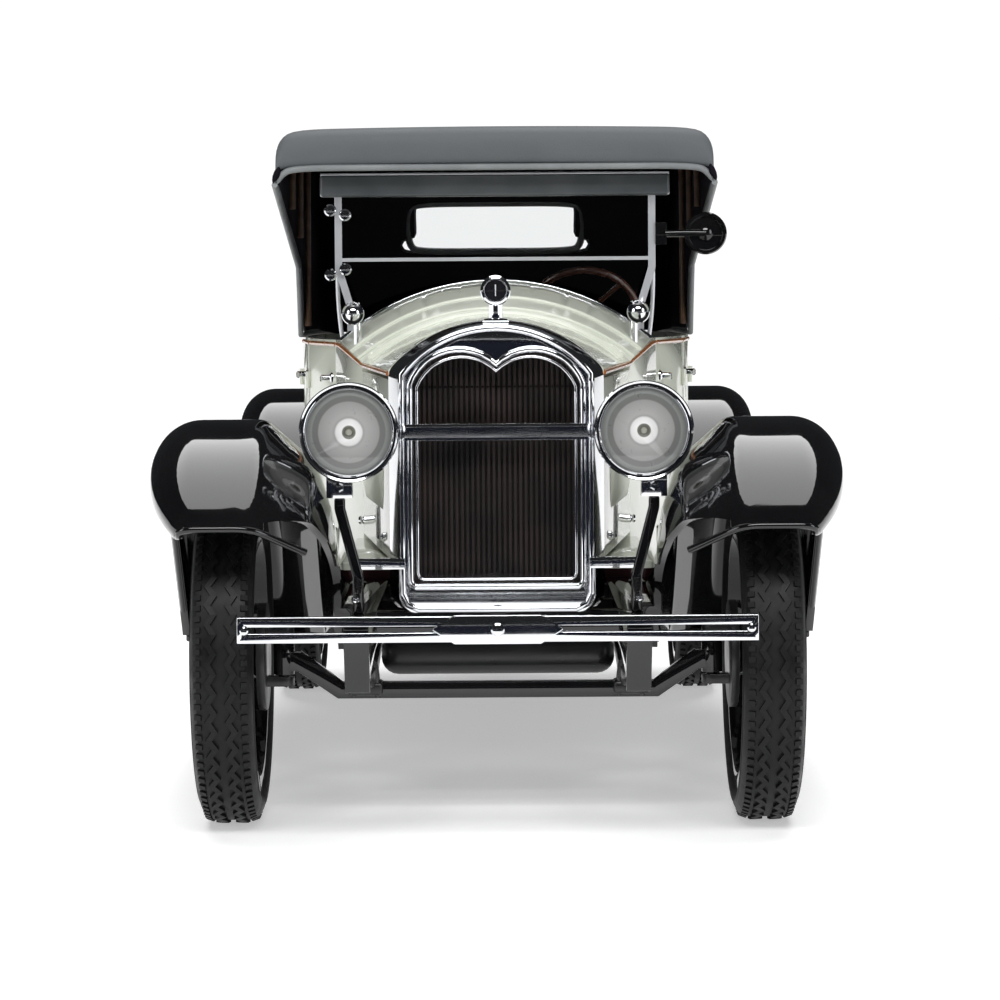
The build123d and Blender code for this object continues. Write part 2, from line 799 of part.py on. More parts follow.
# Doors cut from the same wall, each hinged on outside barrels at its rear edge
door_hinge_radius = 0.5
door_hinge_height = 3.0
door_hinge_bite = 0.15
door_trim_height = top_height - door_sill
DOOR_HINGES = (44.0, 62.0)
for side_name, side in (("left", 1), ("right", -1)):
    for door_name, door_front, door_rear in DOORS:
        with BuildPart() as door:
            door_bottom = door_sill + panel_gap
            extrude(body_outline(door_bottom), amount=body_top - door_bottom)
            extrude(body_outline(door_sill, body_wall), amount=door_trim_height, mode=Mode.SUBTRACT)
            with BuildSketch(Plane.XY.offset(door_sill)):
                with Locations((side * BODY_PLAN[-1][1], axle_y_at((door_front + door_rear) / 2))):
                    Rectangle(BODY_PLAN[-1][1], door_rear - door_front - 2 * panel_gap)
            extrude(amount=door_trim_height, mode=Mode.INTERSECT)
            pin_station = door_rear - panel_gap - door_hinge_radius
            pin_x = plan_half_width(pin_station) + door_hinge_radius - door_hinge_bite
            for hinge_z in DOOR_HINGES:
                with BuildSketch(Plane.XY.offset(hinge_z)):
                    with Locations((side * pin_x, axle_y_at(pin_station))):
                        Circle(door_hinge_radius)
                extrude(amount=door_hinge_height)
        save(door.part, f"{door_name}_door_{side_name}")

# Front and rear seats, as (name, front, back, half width, cushion top, back top, depth of back)
cushion_fall = 2.0
back_rake = 3.0
SEATS = (
    ("front_seat", 103.0, 124.0, 29.0, 45.0, 63.0, 6.0),
    ("rear_seat", 152.0, 181.0, 30.6, 46.0, 68.0, 8.0),
)
for seat_name, seat_front, seat_back, seat_half, cushion_top, back_top, back_depth in SEATS:
    with BuildPart() as seat:
        with BuildSketch(side_plane(-seat_half)):
            Polygon(
                (axle_y_at(seat_front), floor_top),
                (axle_y_at(seat_front), cushion_top),
                (axle_y_at(seat_back), cushion_top - cushion_fall),
                (axle_y_at(seat_back + back_rake), back_top),
                (axle_y_at(seat_back + back_depth), back_top),
                (axle_y_at(seat_back + back_depth), floor_top),
                align=None,
            )
        extrude(amount=2 * seat_half)
    save(seat.part, seat_name)

# Radiator shell, with a double-humped opening, and its core of upright fins
opening_half = radiator_half_width - radiator_border
opening_bottom = rail_top + radiator_bottom_border
opening_shoulder = 65.1
hump_x = 3.8
hump_z = 69.9
dip_z = 67.9
crank_notch_radius = 1.1
crank_notch_depth = 2.0


def shell_face(y, half, shoulder, crest):
    """Outline of the radiator shell: arched on top, with rounded lower corners."""
    with BuildSketch(front_plane(y)) as face:
        with BuildLine():
            Polyline((-half, shoulder), (-half, rail_top), (half, rail_top), (half, shoulder))
            ThreePointArc((half, shoulder), (0, crest), (-half, shoulder))
        make_face()
        fillet(face.vertices().group_by(Axis.Z)[0], radius=radiator_corner_radius)
    return face.sketch


with BuildPart() as radiator_shell:
    loft([
        shell_face(radiator_rear_y, radiator_back_half, radiator_back_shoulder, radiator_back_crest),
        shell_face(radiator_front_y, radiator_half_width, radiator_shoulder, radiator_crest),
    ])
    with BuildSketch(front_plane(radiator_front_y)):
        with Locations((0, rail_top)):
            Circle(crank_notch_radius)
    extrude(amount=-crank_notch_depth, mode=Mode.SUBTRACT)
    with BuildSketch(front_plane(radiator_rear_y)) as radiator_opening:
        with BuildLine():
            Polyline(
                (-opening_half, opening_shoulder), (-opening_half, opening_bottom),
                (opening_half, opening_bottom), (opening_half, opening_shoulder),
            )
            ThreePointArc((opening_half, opening_shoulder), (hump_x, hump_z), (0, dip_z))
            ThreePointArc((0, dip_z), (-hump_x, hump_z), (-opening_half, opening_shoulder))
        make_face()
    extrude(amount=radiator_rear_y - radiator_front_y, mode=Mode.SUBTRACT)
save(radiator_shell.part, "radiator_shell")

core_depth = 2.0
fin_depth = 1.2
fin_top = opening_shoulder - 0.2
fin_side_margin = fin_pitch
with BuildPart() as radiator_core:
    extrude(radiator_opening.sketch, amount=core_depth)
    fin_count = int((2 * opening_half - fin_side_margin) / fin_pitch)
    with BuildSketch(front_plane(radiator_rear_y - core_depth)):
        with Locations((0, (fin_top + opening_bottom) / 2)):
            with GridLocations(fin_pitch, 1.0, fin_count, 1):
                Rectangle(fin_thickness, fin_top - opening_bottom)
    extrude(amount=fin_depth)
save(radiator_core.part, "radiator_core")

# Radiator cap with a temperature gauge
gauge_z = 79.0
gauge_radius = 2.1
gauge_thickness = 1.6
cap_stem_radius = 1.0
cap_y = axle_y_at(-0.5)
with BuildPart() as radiator_cap:
    with BuildSketch(Plane.XY.offset(radiator_crest)):
        with Locations((0, cap_y)):
            Circle(cap_stem_radius)
    extrude(amount=gauge_z - gauge_radius - radiator_crest + 0.4)
    with BuildSketch(front_plane(cap_y + gauge_thickness / 2)):
        with Locations((0, gauge_z)):
            Circle(gauge_radius)
    extrude(amount=gauge_thickness)
    add(radiator_shell.part, mode=Mode.SUBTRACT)
save(radiator_cap.part, "radiator_cap")

# Headlamps: hollow bowls with a rim, drawn as (radius, distance behind the rim)
lens_radius = 6.3
lens_recess = 0.6
with BuildPart() as headlamps:
    for side in (-1, 1):
        lamp_centre = (side * lamp_x, lamp_front_y, lamp_z)
        with BuildSketch(Plane(origin=lamp_centre, x_dir=(1, 0, 0), z_dir=(0, 0, 1))):
            with BuildLine():
                Line((0, lamp_depth), (2.4, lamp_depth - 0.6))
                ThreePointArc((2.4, lamp_depth - 0.6), (5.6, 5.6), (6.6, 1.6))
                Polyline(
                    (6.6, 1.6), (lamp_radius, 1.4), (lamp_radius, 0), (lens_radius, 0),
                    (lens_radius, lens_recess), (5.8, 1.6),
                )
                ThreePointArc((5.8, 1.6), (4.9, 5.1), (2.0, lamp_depth - 1.5))
                Polyline((2.0, lamp_depth - 1.5), (0, lamp_depth - 1.5), (0, lamp_depth))
            make_face()
        revolve(axis=Axis(lamp_centre, (0, 1, 0)))
save(headlamps.part, "headlamps")

# Lenses with a moulded centre pin
lens_pin_radius = 0.95
lens_thickness = 0.5
with BuildPart() as headlamp_lenses:
    for side in (-1, 1):
        with BuildSketch(front_plane(lamp_front_y + lens_recess)):
            with Locations((side * lamp_x, lamp_z)):
                Circle(lens_radius)
        extrude(amount=lens_thickness)
        with BuildSketch(front_plane(lamp_front_y + lens_recess)):
            with Locations((side * lamp_x, lamp_z)):
                Circle(lens_pin_radius)
        extrude(amount=lens_recess)
save(headlamp_lenses.part, "headlamp_lenses")

# Headlamp stays from the rails up to the lamp clamps
stay_y = axle_y_at(-4.2)
stay_thickness = 1.6
stay_foot_x = 20.6
stay_bend_z = 37.0
stay_head_x = 23.2
clamp_bottom = 48.6
with BuildPart() as headlamp_stays:
    for side in (-1, 1):
        with BuildSketch(front_plane(stay_y + stay_thickness / 2)):
            with BuildLine():
                FilletPolyline(
                    (side * stay_foot_x, rail_top), (side * stay_foot_x, stay_bend_z),
                    (side * stay_head_x, clamp_bottom - 1.6), (side * stay_head_x, clamp_bottom), radius=2.0,
                )
            trace(line_width=stay_thickness)
        extrude(amount=stay_thickness)
save(headlamp_stays.part, "headlamp_stays")

# Plated clamps under the lamps, ties to the radiator, and the bar between the lamps
radiator_tie_z = 38.8
tie_bar_z = 58.2
tie_bar_height = 2.4
tie_bar_depth = 1.2
lamp_seat = 5.9
lamp_clamp_width = 3.8
lamp_clamp_depth = 2.6
lamp_clamp_height = 5.4
with BuildPart() as headlamp_mounts:
    for side in (-1, 1):
        with BuildSketch(front_plane(stay_y + stay_thickness / 2)):
            with Locations((side * (radiator_half_width + stay_foot_x) / 2, radiator_tie_z)):
                Rectangle(stay_foot_x - radiator_half_width + stay_thickness, stay_thickness)
        extrude(amount=stay_thickness)
        with BuildSketch(front_plane(stay_y + lamp_clamp_depth / 2)):
            with Locations((side * stay_head_x, clamp_bottom + lamp_clamp_height / 2)):
                Rectangle(lamp_clamp_width, lamp_clamp_height)
        extrude(amount=lamp_clamp_depth)
    with BuildSketch(front_plane(radiator_front_y)):
        with Locations((0, tie_bar_z)):
            Rectangle(2 * (lamp_x - lamp_seat), tie_bar_height)
    extrude(amount=tie_bar_depth)
    add(headlamps.part, mode=Mode.SUBTRACT)
    add(headlamp_stays.part, mode=Mode.SUBTRACT)
    add(radiator_shell.part, mode=Mode.SUBTRACT)
save(headlamp_mounts.part, "headlamp_mounts")

# Front bumper: two blades with end caps and a centre clamp
bumper_front_y = axle_y_at(-bumper_reach)
with BuildPart() as front_bumper:
    with BuildSketch(front_plane(blade_back_y)):
        for offset_z in (-1, 1):
            with Locations((0, bumper_z + offset_z * (blade_height + blade_gap) / 2)):
                Rectangle(2 * bumper_half, blade_height)
        with Locations((-bumper_half + 0.6, bumper_z), (bumper_half - 0.6, bumper_z)):
            Rectangle(1.2, 2 * blade_height + blade_gap)
    extrude(amount=blade_depth)
    with BuildSketch(front_plane(bumper_front_y + clamp_depth)):
        Polygon(
            (-9.1, bumper_z), (-6.0, bumper_z + 2.0), (6.0, bumper_z + 2.0),
            (9.1, bumper_z), (6.0, bumper_z - 2.0), (-6.0, bumper_z - 2.0), align=None,
        )
    extrude(amount=clamp_depth)
save(front_bumper.part, "front_bumper")

# Bonnet: two top panels hinged along the middle, each with a side panel hinged at its shoulder
bonnet_front_y = radiator_rear_y + 0.9
bonnet_rear_y = body_front_y - panel_gap
BONNET = (
    (bonnet_front_y, radiator_back_half, radiator_back_shoulder, radiator_back_crest),
    (bonnet_rear_y, cowl_half_front, cowl_front_shoulder, cowl_front_crest),
)


def bonnet_arch(y, half, shoulder, crest):
    """Cross-section of the bonnet top as a thin arched band."""
    with BuildSketch(front_plane(y)) as band:
        with BuildLine():
            ThreePointArc((-half, shoulder), (0, crest), (half, shoulder))
            Line((half, shoulder), (half, shoulder - bonnet_sheet))
            ThreePointArc(
                (half, shoulder - bonnet_sheet), (0, crest - bonnet_sheet), (-half, shoulder - bonnet_sheet)
            )
            Line((-half, shoulder - bonnet_sheet), (-half, shoulder))
        make_face()
    return band.sketch


def bonnet_cheek(y, half, shoulder, side):
    """Cross-section of the bonnet side."""
    top = shoulder - bonnet_sheet - panel_gap
    with BuildSketch(front_plane(y)) as cheek:
        Polygon(
            (side * half, top), (side * (half - bonnet_sheet), top),
            (side * (half - bonnet_sheet), bonnet_bottom), (side * half, bonnet_bottom), align=None,
        )
    return cheek.sketch


for bonnet_name, side in (("left", 1), ("right", -1)):
    with BuildPart() as bonnet_top:
        loft([bonnet_arch(y, half, shoulder, crest) for y, half, shoulder, crest in BONNET])
        with BuildSketch(Plane.XY.offset(bonnet_bottom)):
            with Locations((side * (cowl_half_rear + bonnet_half_gap), (bonnet_front_y + bonnet_rear_y) / 2)):
                Rectangle(2 * cowl_half_rear, 2 * (bonnet_rear_y - bonnet_front_y))
        extrude(amount=cowl_rear_crest - bonnet_bottom, mode=Mode.INTERSECT)
    save(bonnet_top.part, f"bonnet_top_{bonnet_name}")
    with BuildPart() as bonnet_side:
        loft([bonnet_cheek(y, half, shoulder, side) for y, half, shoulder, _ in BONNET])
    save(bonnet_side.part, f"bonnet_side_{bonnet_name}")

# Centre hinge rod of the bonnet, from radiator to cowl
hinge_rod_radius = 0.4
with BuildPart() as bonnet_hinge:
    for y, crest in ((radiator_rear_y, radiator_back_crest), (body_front_y, cowl_front_crest)):
        with BuildSketch(front_plane(y)):
            with Locations((0, crest)):
                Circle(hinge_rod_radius)
    loft()
save(bonnet_hinge.part, "bonnet_hinge")

# Sills under the bonnet sides, out to the inner walls of the fenders
sill_thickness = 1.2
sill_inset = 1.6
sill_front_y = axle_y_at(6.0)
with BuildPart() as bonnet_sills:
    for side in (-1, 1):
        with BuildSketch(Plane.XY.offset(plate_top - sill_thickness)):
            Polygon(
                (side * (radiator_back_half - sill_inset), sill_front_y), (side * inner_wall_x, sill_front_y),
                (side * inner_wall_x, body_front_y), (side * (cowl_half_front - sill_inset), body_front_y),
                align=None,
            )
        extrude(amount=sill_thickness)
save(bonnet_sills.part, "bonnet_sills")

# Windscreen: posts, header, divider
screen_foot_x = 24.6
screen_foot_z = 72.6
post_turn_top = 83.0
post_turn_bottom = 76.5
post_turn_radius = 2.0
header_depth = 1.6
visor_reach = 1.4
visor_lip = 0.8
divider_height = 0.6
divider_depth = 1.0
with BuildPart() as windscreen_frame:
    for side in (-1, 1):
        with BuildSketch(front_plane(screen_y + screen_bar / 2)):
            with BuildLine():
                FilletPolyline(
                    (side * screen_post_x, screen_header_bottom + 0.5), (side * screen_post_x, post_turn_top),
                    (side * screen_foot_x, post_turn_bottom), (side * screen_foot_x, screen_foot_z),
                    radius=post_turn_radius,
                )
            trace(line_width=screen_bar)
        extrude(amount=screen_bar)
    with BuildSketch(side_plane(-screen_header_half_width)):
        Polygon(
            (screen_y + header_depth / 2, screen_header_bottom),
            (screen_y + header_depth / 2, screen_header_top),
            (screen_y - header_depth / 2, screen_header_top),
            (screen_y - header_depth / 2 - visor_reach, screen_header_bottom + visor_lip),
            (screen_y - header_depth / 2 - visor_reach, screen_header_bottom),
            align=None,
        )
    extrude(amount=2 * screen_header_half_width)
    with BuildSketch(front_plane(screen_y + divider_depth / 2)):
        with Locations((0, divider_z)):
            Rectangle(2 * screen_post_x, divider_height)
    extrude(amount=divider_depth)
save(windscreen_frame.part, "windscreen_frame")

# Windscreen pane, its lower edge arched over the cowl
pane_edge = screen_post_x - screen_bar / 2
pane_foot_x = 23.0
pane_foot_z = 76.2
pane_side_z = post_turn_top + 1.0
pane_foot_crest = cowl_rear_crest + 0.3
with BuildPart() as windscreen_glass:
    with BuildSketch(front_plane(screen_y + glass_thickness / 2)):
        with BuildLine():
            Polyline(
                (-pane_foot_x, pane_foot_z), (-pane_edge, pane_side_z), (-pane_edge, screen_header_bottom),
                (pane_edge, screen_header_bottom), (pane_edge, pane_side_z), (pane_foot_x, pane_foot_z),
            )
            ThreePointArc((pane_foot_x, pane_foot_z), (0, pane_foot_crest), (-pane_foot_x, pane_foot_z))
        make_face()
    extrude(amount=glass_thickness)
    add(windscreen_frame.part, mode=Mode.SUBTRACT)
save(windscreen_glass.part, "windscreen_glass")

# Cowl lamps, small balls on stems beside the windscreen feet
cowl_lamp_x = 24.1
cowl_lamp_z = 75.5
cowl_lamp_radius = 1.9
cowl_lamp_y = screen_y - 3.2
cowl_lamp_stem_radius = 0.7
cowl_lamp_stem_x = cowl_lamp_x - 0.8
cowl_lamp_stem_top = cowl_lamp_z - 1.5
cowl_lamp_stem_length = 4.4
with BuildPart() as cowl_lamps:
    for side in (-1, 1):
        with Locations((side * cowl_lamp_x, cowl_lamp_y, cowl_lamp_z)):
            Sphere(cowl_lamp_radius, rotation=(90, 0, 0))
        with BuildSketch(Plane.XY.offset(cowl_lamp_stem_top)):
            with Locations((side * cowl_lamp_stem_x, cowl_lamp_y)):
                Circle(cowl_lamp_stem_radius)
        extrude(amount=-cowl_lamp_stem_length)
    add(body_tub.part, mode=Mode.SUBTRACT)
save(cowl_lamps.part, "cowl_lamps")

# Steering column and the wheel on its end
column_x = 15.5
column_tilt = 35.0
steering_centre = Vector(column_x, axle_y_at(94.0), 75.0)
column_turn = math.radians(column_tilt)
column_direction = Vector(0, math.cos(column_turn), math.sin(column_turn))
column_length = 40.0
column_radius = 0.9
steering_radius = 9.5
steering_rim_radius = 0.65
steering_gap = 0.3
steering_hub_radius = 1.8
steering_hub_height = 1.6
steering_spoke_radius = 0.45
steering_spoke_bite = 0.4
steering_spoke_count = 4
column_end = steering_centre - column_direction * (steering_hub_height / 2 + steering_gap)
with BuildPart() as steering_column:
    with BuildSketch(Plane(origin=tuple(column_end), z_dir=tuple(column_direction * -1.0))):
        Circle(column_radius)
    extrude(amount=column_length)
save(steering_column.part, "steering_column")

steering_plane = Plane(origin=tuple(steering_centre), x_dir=(1, 0, 0), z_dir=tuple(column_direction))
with BuildPart(steering_plane) as steering_wheel:
    Torus(steering_radius, steering_rim_radius)
    Cylinder(steering_hub_radius, steering_hub_height)
    with PolarLocations(steering_hub_radius - steering_spoke_bite, steering_spoke_count, start_angle=45.0):
        Cylinder(
            steering_spoke_radius, steering_radius - steering_hub_radius + steering_spoke_bite,
            rotation=(0, 90, 0), align=(Align.CENTER, Align.CENTER, Align.MIN),
        )
save(steering_wheel.part, "steering_wheel")

# Dashboard under the back edge of the cowl
dashboard_gap = 0.3
dashboard_bottom = 58.0
dashboard_thickness = 1.2
dashboard_inset = 0.5
dashboard_set_in = 1.6
with BuildPart() as dashboard:
    extrude(
        cowl_section(
            cowl_rear_y - dashboard_set_in, cowl_half_rear - dashboard_inset, dashboard_bottom,
            body_top - dashboard_inset, cowl_rear_crest - dashboard_inset, body_wall + dashboard_gap,
        ),
        amount=-dashboard_thickness,
    )
    add(steering_column.part, mode=Mode.SUBTRACT)
save(dashboard.part, "dashboard")

# Door mirror on an arm from the right windscreen post
mirror_x = 35.7
mirror_z = 88.7
mirror_radius = 3.5
mirror_thickness = 2.0
mirror_arm_radius = 0.6
mirror_clamp_width = 1.9
mirror_clamp_height = 3.7
mirror_clamp_depth = 2.0
mirror_foot_x = screen_post_x + screen_bar / 2
with BuildPart() as mirror:
    with BuildSketch(front_plane(screen_y + mirror_thickness / 2)):
        with Locations((mirror_x, mirror_z)):
            Circle(mirror_radius)
    extrude(amount=mirror_thickness)
    with BuildSketch(side_plane(mirror_foot_x)):
        with Locations((screen_y, mirror_z)):
            Circle(mirror_arm_radius)
    extrude(amount=mirror_x - mirror_foot_x - mirror_radius + mirror_thickness / 4)
    with BuildSketch(side_plane(mirror_foot_x)):
        with Locations((screen_y, mirror_z)):
            Rectangle(mirror_clamp_depth, mirror_clamp_height)
    extrude(amount=mirror_clamp_width)
save(mirror.part, "mirror")

# Soft top: a hollow canopy, open in front and at the sides, with a curtain round the back
top_hem_front = top_height - 9.7
top_hem_rear = top_height - 22.8
top_valance = top_height - 7.1
top_hem_rear_y = rear_axle_y - 38.0
top_curtain_y = rear_axle_y - 35.0
top_bow_y = rear_axle_y - 6.0
top_fall_y = rear_axle_y + 18.0
top_fall = 4.8
top_edge_radius = 4.5
top_trim = 10.0
top_trim_width = 3 * top_half_width
rear_window_half = 17.7
window_inset = 0.2
window_reach = 36.0
rear_window_bottom = top_height - 18.4
rear_window_top = top_height - 9.8


def canopy(shrink):
    """Filled form of the top, drawn inwards by shrink."""
    half = top_half_width - shrink
    with BuildPart() as form:
        with BuildSketch(side_plane(-half)):
            Polygon(
                (top_front_y + shrink, body_top - shrink),
                (top_front_y + shrink, top_height - shrink),
                (top_bow_y, top_height - shrink),
                (top_fall_y, top_height - top_fall - shrink),
                (top_rear_y - shrink, body_top - shrink),
                align=None,
            )
        extrude(amount=2 * half)
        fillet(form.faces().sort_by(Axis.X)[0].edges().sort_by(Axis.Z)[-2:], radius=top_edge_radius - shrink)
        fillet(form.faces().sort_by(Axis.X)[-1].edges().sort_by(Axis.Z)[-2:], radius=top_edge_radius - shrink)
    return form.part


with BuildPart() as soft_top:
    add(canopy(0.0))
    add(canopy(top_wall), mode=Mode.SUBTRACT)
    # Side openings below the hem
    with BuildSketch(side_plane(-top_trim_width / 2)):
        Polygon(
            (top_front_y - top_trim, top_hem_front), (top_front_y, top_hem_front),
            (top_hem_rear_y, top_hem_rear), (top_curtain_y, body_top - top_trim),
            (top_front_y - top_trim, body_top - top_trim), align=None,
        )
    extrude(amount=top_trim_width, mode=Mode.SUBTRACT)
    with BuildSketch(front_plane(top_front_y + top_wall + 0.5)):
        with Locations((0, (top_valance + body_top - top_trim) / 2)):
            Rectangle(2 * (top_half_width - top_wall), top_valance - body_top + top_trim)
    extrude(amount=top_trim, mode=Mode.SUBTRACT)
    with BuildSketch(Plane.XY.offset(body_top)):
        Rectangle(top_trim_width, 2 * overall_length)
    extrude(amount=-top_trim, mode=Mode.SUBTRACT)
    with BuildSketch(front_plane(top_rear_y + top_trim)):
        with Locations((0, (rear_window_bottom + rear_window_top) / 2)):
            Rectangle(2 * rear_window_half, rear_window_top - rear_window_bottom)
    extrude(amount=window_reach, mode=Mode.SUBTRACT)
save(soft_top.part, "soft_top")

# Clear pane filling the rear window
with BuildPart() as rear_window:
    add(canopy(window_inset))
    add(canopy(top_wall - window_inset), mode=Mode.SUBTRACT)
    with BuildSketch(front_plane(top_rear_y + top_trim)):
        with Locations((0, (rear_window_bottom + rear_window_top) / 2)):
            Rectangle(2 * rear_window_half, rear_window_top - rear_window_bottom)
    extrude(amount=window_reach, mode=Mode.INTERSECT)
save(rear_window.part, "rear_window")
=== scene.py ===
import bpy
import json
import math
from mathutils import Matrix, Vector

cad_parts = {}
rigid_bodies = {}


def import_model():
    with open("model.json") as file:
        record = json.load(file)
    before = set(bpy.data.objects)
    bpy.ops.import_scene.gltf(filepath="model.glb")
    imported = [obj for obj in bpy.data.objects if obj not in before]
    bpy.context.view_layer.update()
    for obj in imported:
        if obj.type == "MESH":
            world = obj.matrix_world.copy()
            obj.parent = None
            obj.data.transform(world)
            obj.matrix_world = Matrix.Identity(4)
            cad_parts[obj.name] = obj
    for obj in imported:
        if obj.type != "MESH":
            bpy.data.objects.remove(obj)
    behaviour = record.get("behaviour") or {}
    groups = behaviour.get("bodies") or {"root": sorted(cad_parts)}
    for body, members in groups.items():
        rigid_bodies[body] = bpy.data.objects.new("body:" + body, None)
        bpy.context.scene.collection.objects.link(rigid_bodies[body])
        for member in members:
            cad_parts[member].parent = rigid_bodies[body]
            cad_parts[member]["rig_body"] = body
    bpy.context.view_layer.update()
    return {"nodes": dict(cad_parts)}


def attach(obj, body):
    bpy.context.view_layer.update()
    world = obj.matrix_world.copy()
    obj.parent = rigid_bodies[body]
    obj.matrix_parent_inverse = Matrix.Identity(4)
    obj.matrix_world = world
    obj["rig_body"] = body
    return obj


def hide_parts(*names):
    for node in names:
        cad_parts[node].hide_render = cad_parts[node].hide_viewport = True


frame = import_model()
scene = bpy.context.scene

# The studio: a car model on a seamless white table, photographed from straight in front of its
# radiator with a long lens. A wide soft light hangs above, a softbox stands behind the camera and
# a strip on each side, and the dark room and a black card show in the black paint and the chrome.
def preset(node, **values):
    """Sets a node's own inputs, an underscore standing for each space in their names."""
    for label, value in values.items():
        node.inputs[label.replace("_", " ")].default_value = value


def maths(tree, operation, second=None):
    """A maths node of a tree, with its second value if that is fixed."""
    node = tree.nodes.new("ShaderNodeMath")
    node.operation = operation
    if second is not None:
        node.inputs[1].default_value = second
    return node


def linked(tree, *runs):
    """Links the output of each run to its input."""
    for source, target in runs:
        tree.links.new(source, target)


def plain_material(name, slot=None, **values):
    """A material with its shader's inputs set; the slot argument is not used."""
    material = bpy.data.materials.new(name)
    material.use_nodes = True
    preset(material.node_tree.nodes["Principled BSDF"], **values)
    return material


scene.view_settings.view_transform = "Standard"
scene.view_settings.look = "None"
camera_data = bpy.data.cameras.new("camera")
camera_data.sensor_width = 36.0
camera_data.lens = 119.6
camera_data.shift_x = 0.0045
camera_data.clip_start = 0.01
camera_data.clip_end = 40.0
camera = bpy.data.objects.new("camera", camera_data)
camera.location = (0.0, -0.583, 0.0772)
camera.rotation_euler = (math.radians(90.0 - 3.4), math.radians(0.4), 0.0)
scene.collection.objects.link(camera)
scene.camera = camera

bpy.ops.object.select_all(action="DESELECT")
bpy.ops.mesh.primitive_plane_add(size=30.0, location=(0.0, 0.0, 0.0))
floor = bpy.context.active_object
floor.name = "studio_floor"
floor.data.materials.append(plain_material(
    "studio_paper", Base_Color=(0.80, 0.80, 0.80, 1.0), Roughness=0.9, Specular_IOR_Level=0.1,
    Emission_Color=(1.0, 1.0, 1.0, 1.0), Emission_Strength=0.42))

# The card lies before the car, out of the picture, and shows only in mirror-like skins
bpy.ops.mesh.primitive_plane_add(size=1.0, location=(0.0, -3.28, 0.0004))
card = bpy.context.active_object
card.name = "studio_black_card"
card.scale = (4.0, 6.0, 1.0)
bpy.ops.object.transform_apply(location=True, rotation=True, scale=True)
card.data.materials.append(plain_material(
    "studio_velvet", Base_Color=(0.008, 0.009, 0.014, 1.0), Roughness=0.95, Specular_IOR_Level=0.0))
card.visible_camera = False
card.visible_diffuse = False
card.visible_shadow = False

# The room is white where it is seen, directly or looking back through glass, and dark elsewhere
world = bpy.data.worlds.new("studio_room")
world.use_nodes = True
scene.world = world
room = world.node_tree
room.nodes.clear()
seen = room.nodes.new("ShaderNodeBackground")
preset(seen, Color=(1.0, 1.0, 1.0, 1.0), Strength=1.05)
lit = room.nodes.new("ShaderNodeBackground")
preset(lit, Color=(0.90, 0.95, 1.0, 1.0), Strength=0.02)
path = room.nodes.new("ShaderNodeLightPath")
heading = room.nodes.new("ShaderNodeTexCoord")
along = room.nodes.new("ShaderNodeSeparateXYZ")
backward = maths(room, "GREATER_THAN", 0.0)
past_glass = maths(room, "MULTIPLY")
through = maths(room, "MAXIMUM")
either = room.nodes.new("ShaderNodeMixShader")
room_out = room.nodes.new("ShaderNodeOutputWorld")
linked(
    room,
    (heading.outputs["Generated"], along.inputs[0]),
    (along.outputs["Y"], backward.inputs[0]),
    (path.outputs["Is Transmission Ray"], past_glass.inputs[0]),
    (backward.outputs[0], past_glass.inputs[1]),
    (path.outputs["Is Camera Ray"], through.inputs[0]),
    (past_glass.outputs[0], through.inputs[1]),
    (through.outputs[0], either.inputs[0]),
    (lit.outputs[0], either.inputs[1]),
    (seen.outputs[0], either.inputs[2]),
    (either.outputs[0], room_out.inputs["Surface"]),
)

dome_data = bpy.data.lights.new("overhead_silk", "SUN")
dome_data.energy = 2.5
dome_data.angle = math.radians(56.0)
dome = bpy.data.objects.new("overhead_silk", dome_data)
dome.rotation_euler = (math.radians(-18.0), 0.0, 0.0)
scene.collection.objects.link(dome)


def softbox(name, place, aim, width, height, power, colour=(1.0, 1.0, 1.0)):
    """An oval softbox at a place, turned to face the aim."""
    light = bpy.data.lights.new(name, "AREA")
    light.shape = "ELLIPSE"
    light.size = width
    light.size_y = height
    light.energy = power
    light.color = colour
    box = bpy.data.objects.new(name, light)
    box.location = place
    box.rotation_euler = (Vector(aim) - Vector(place)).to_track_quat("-Z", "Y").to_euler()
    scene.collection.objects.link(box)


softbox("softbox_front", (0.0, -1.05, 1.02), aim=(0.0, -0.05, 0.06), width=1.05, height=0.44, power=12.0)
for name, away in (("strip_left", -0.95), ("strip_right", 0.95)):
    softbox(name, (away, -0.75, 0.32), aim=(0.0, -0.08, 0.05), width=0.45, height=0.9, power=3.6,
            colour=(0.97, 0.98, 1.0))


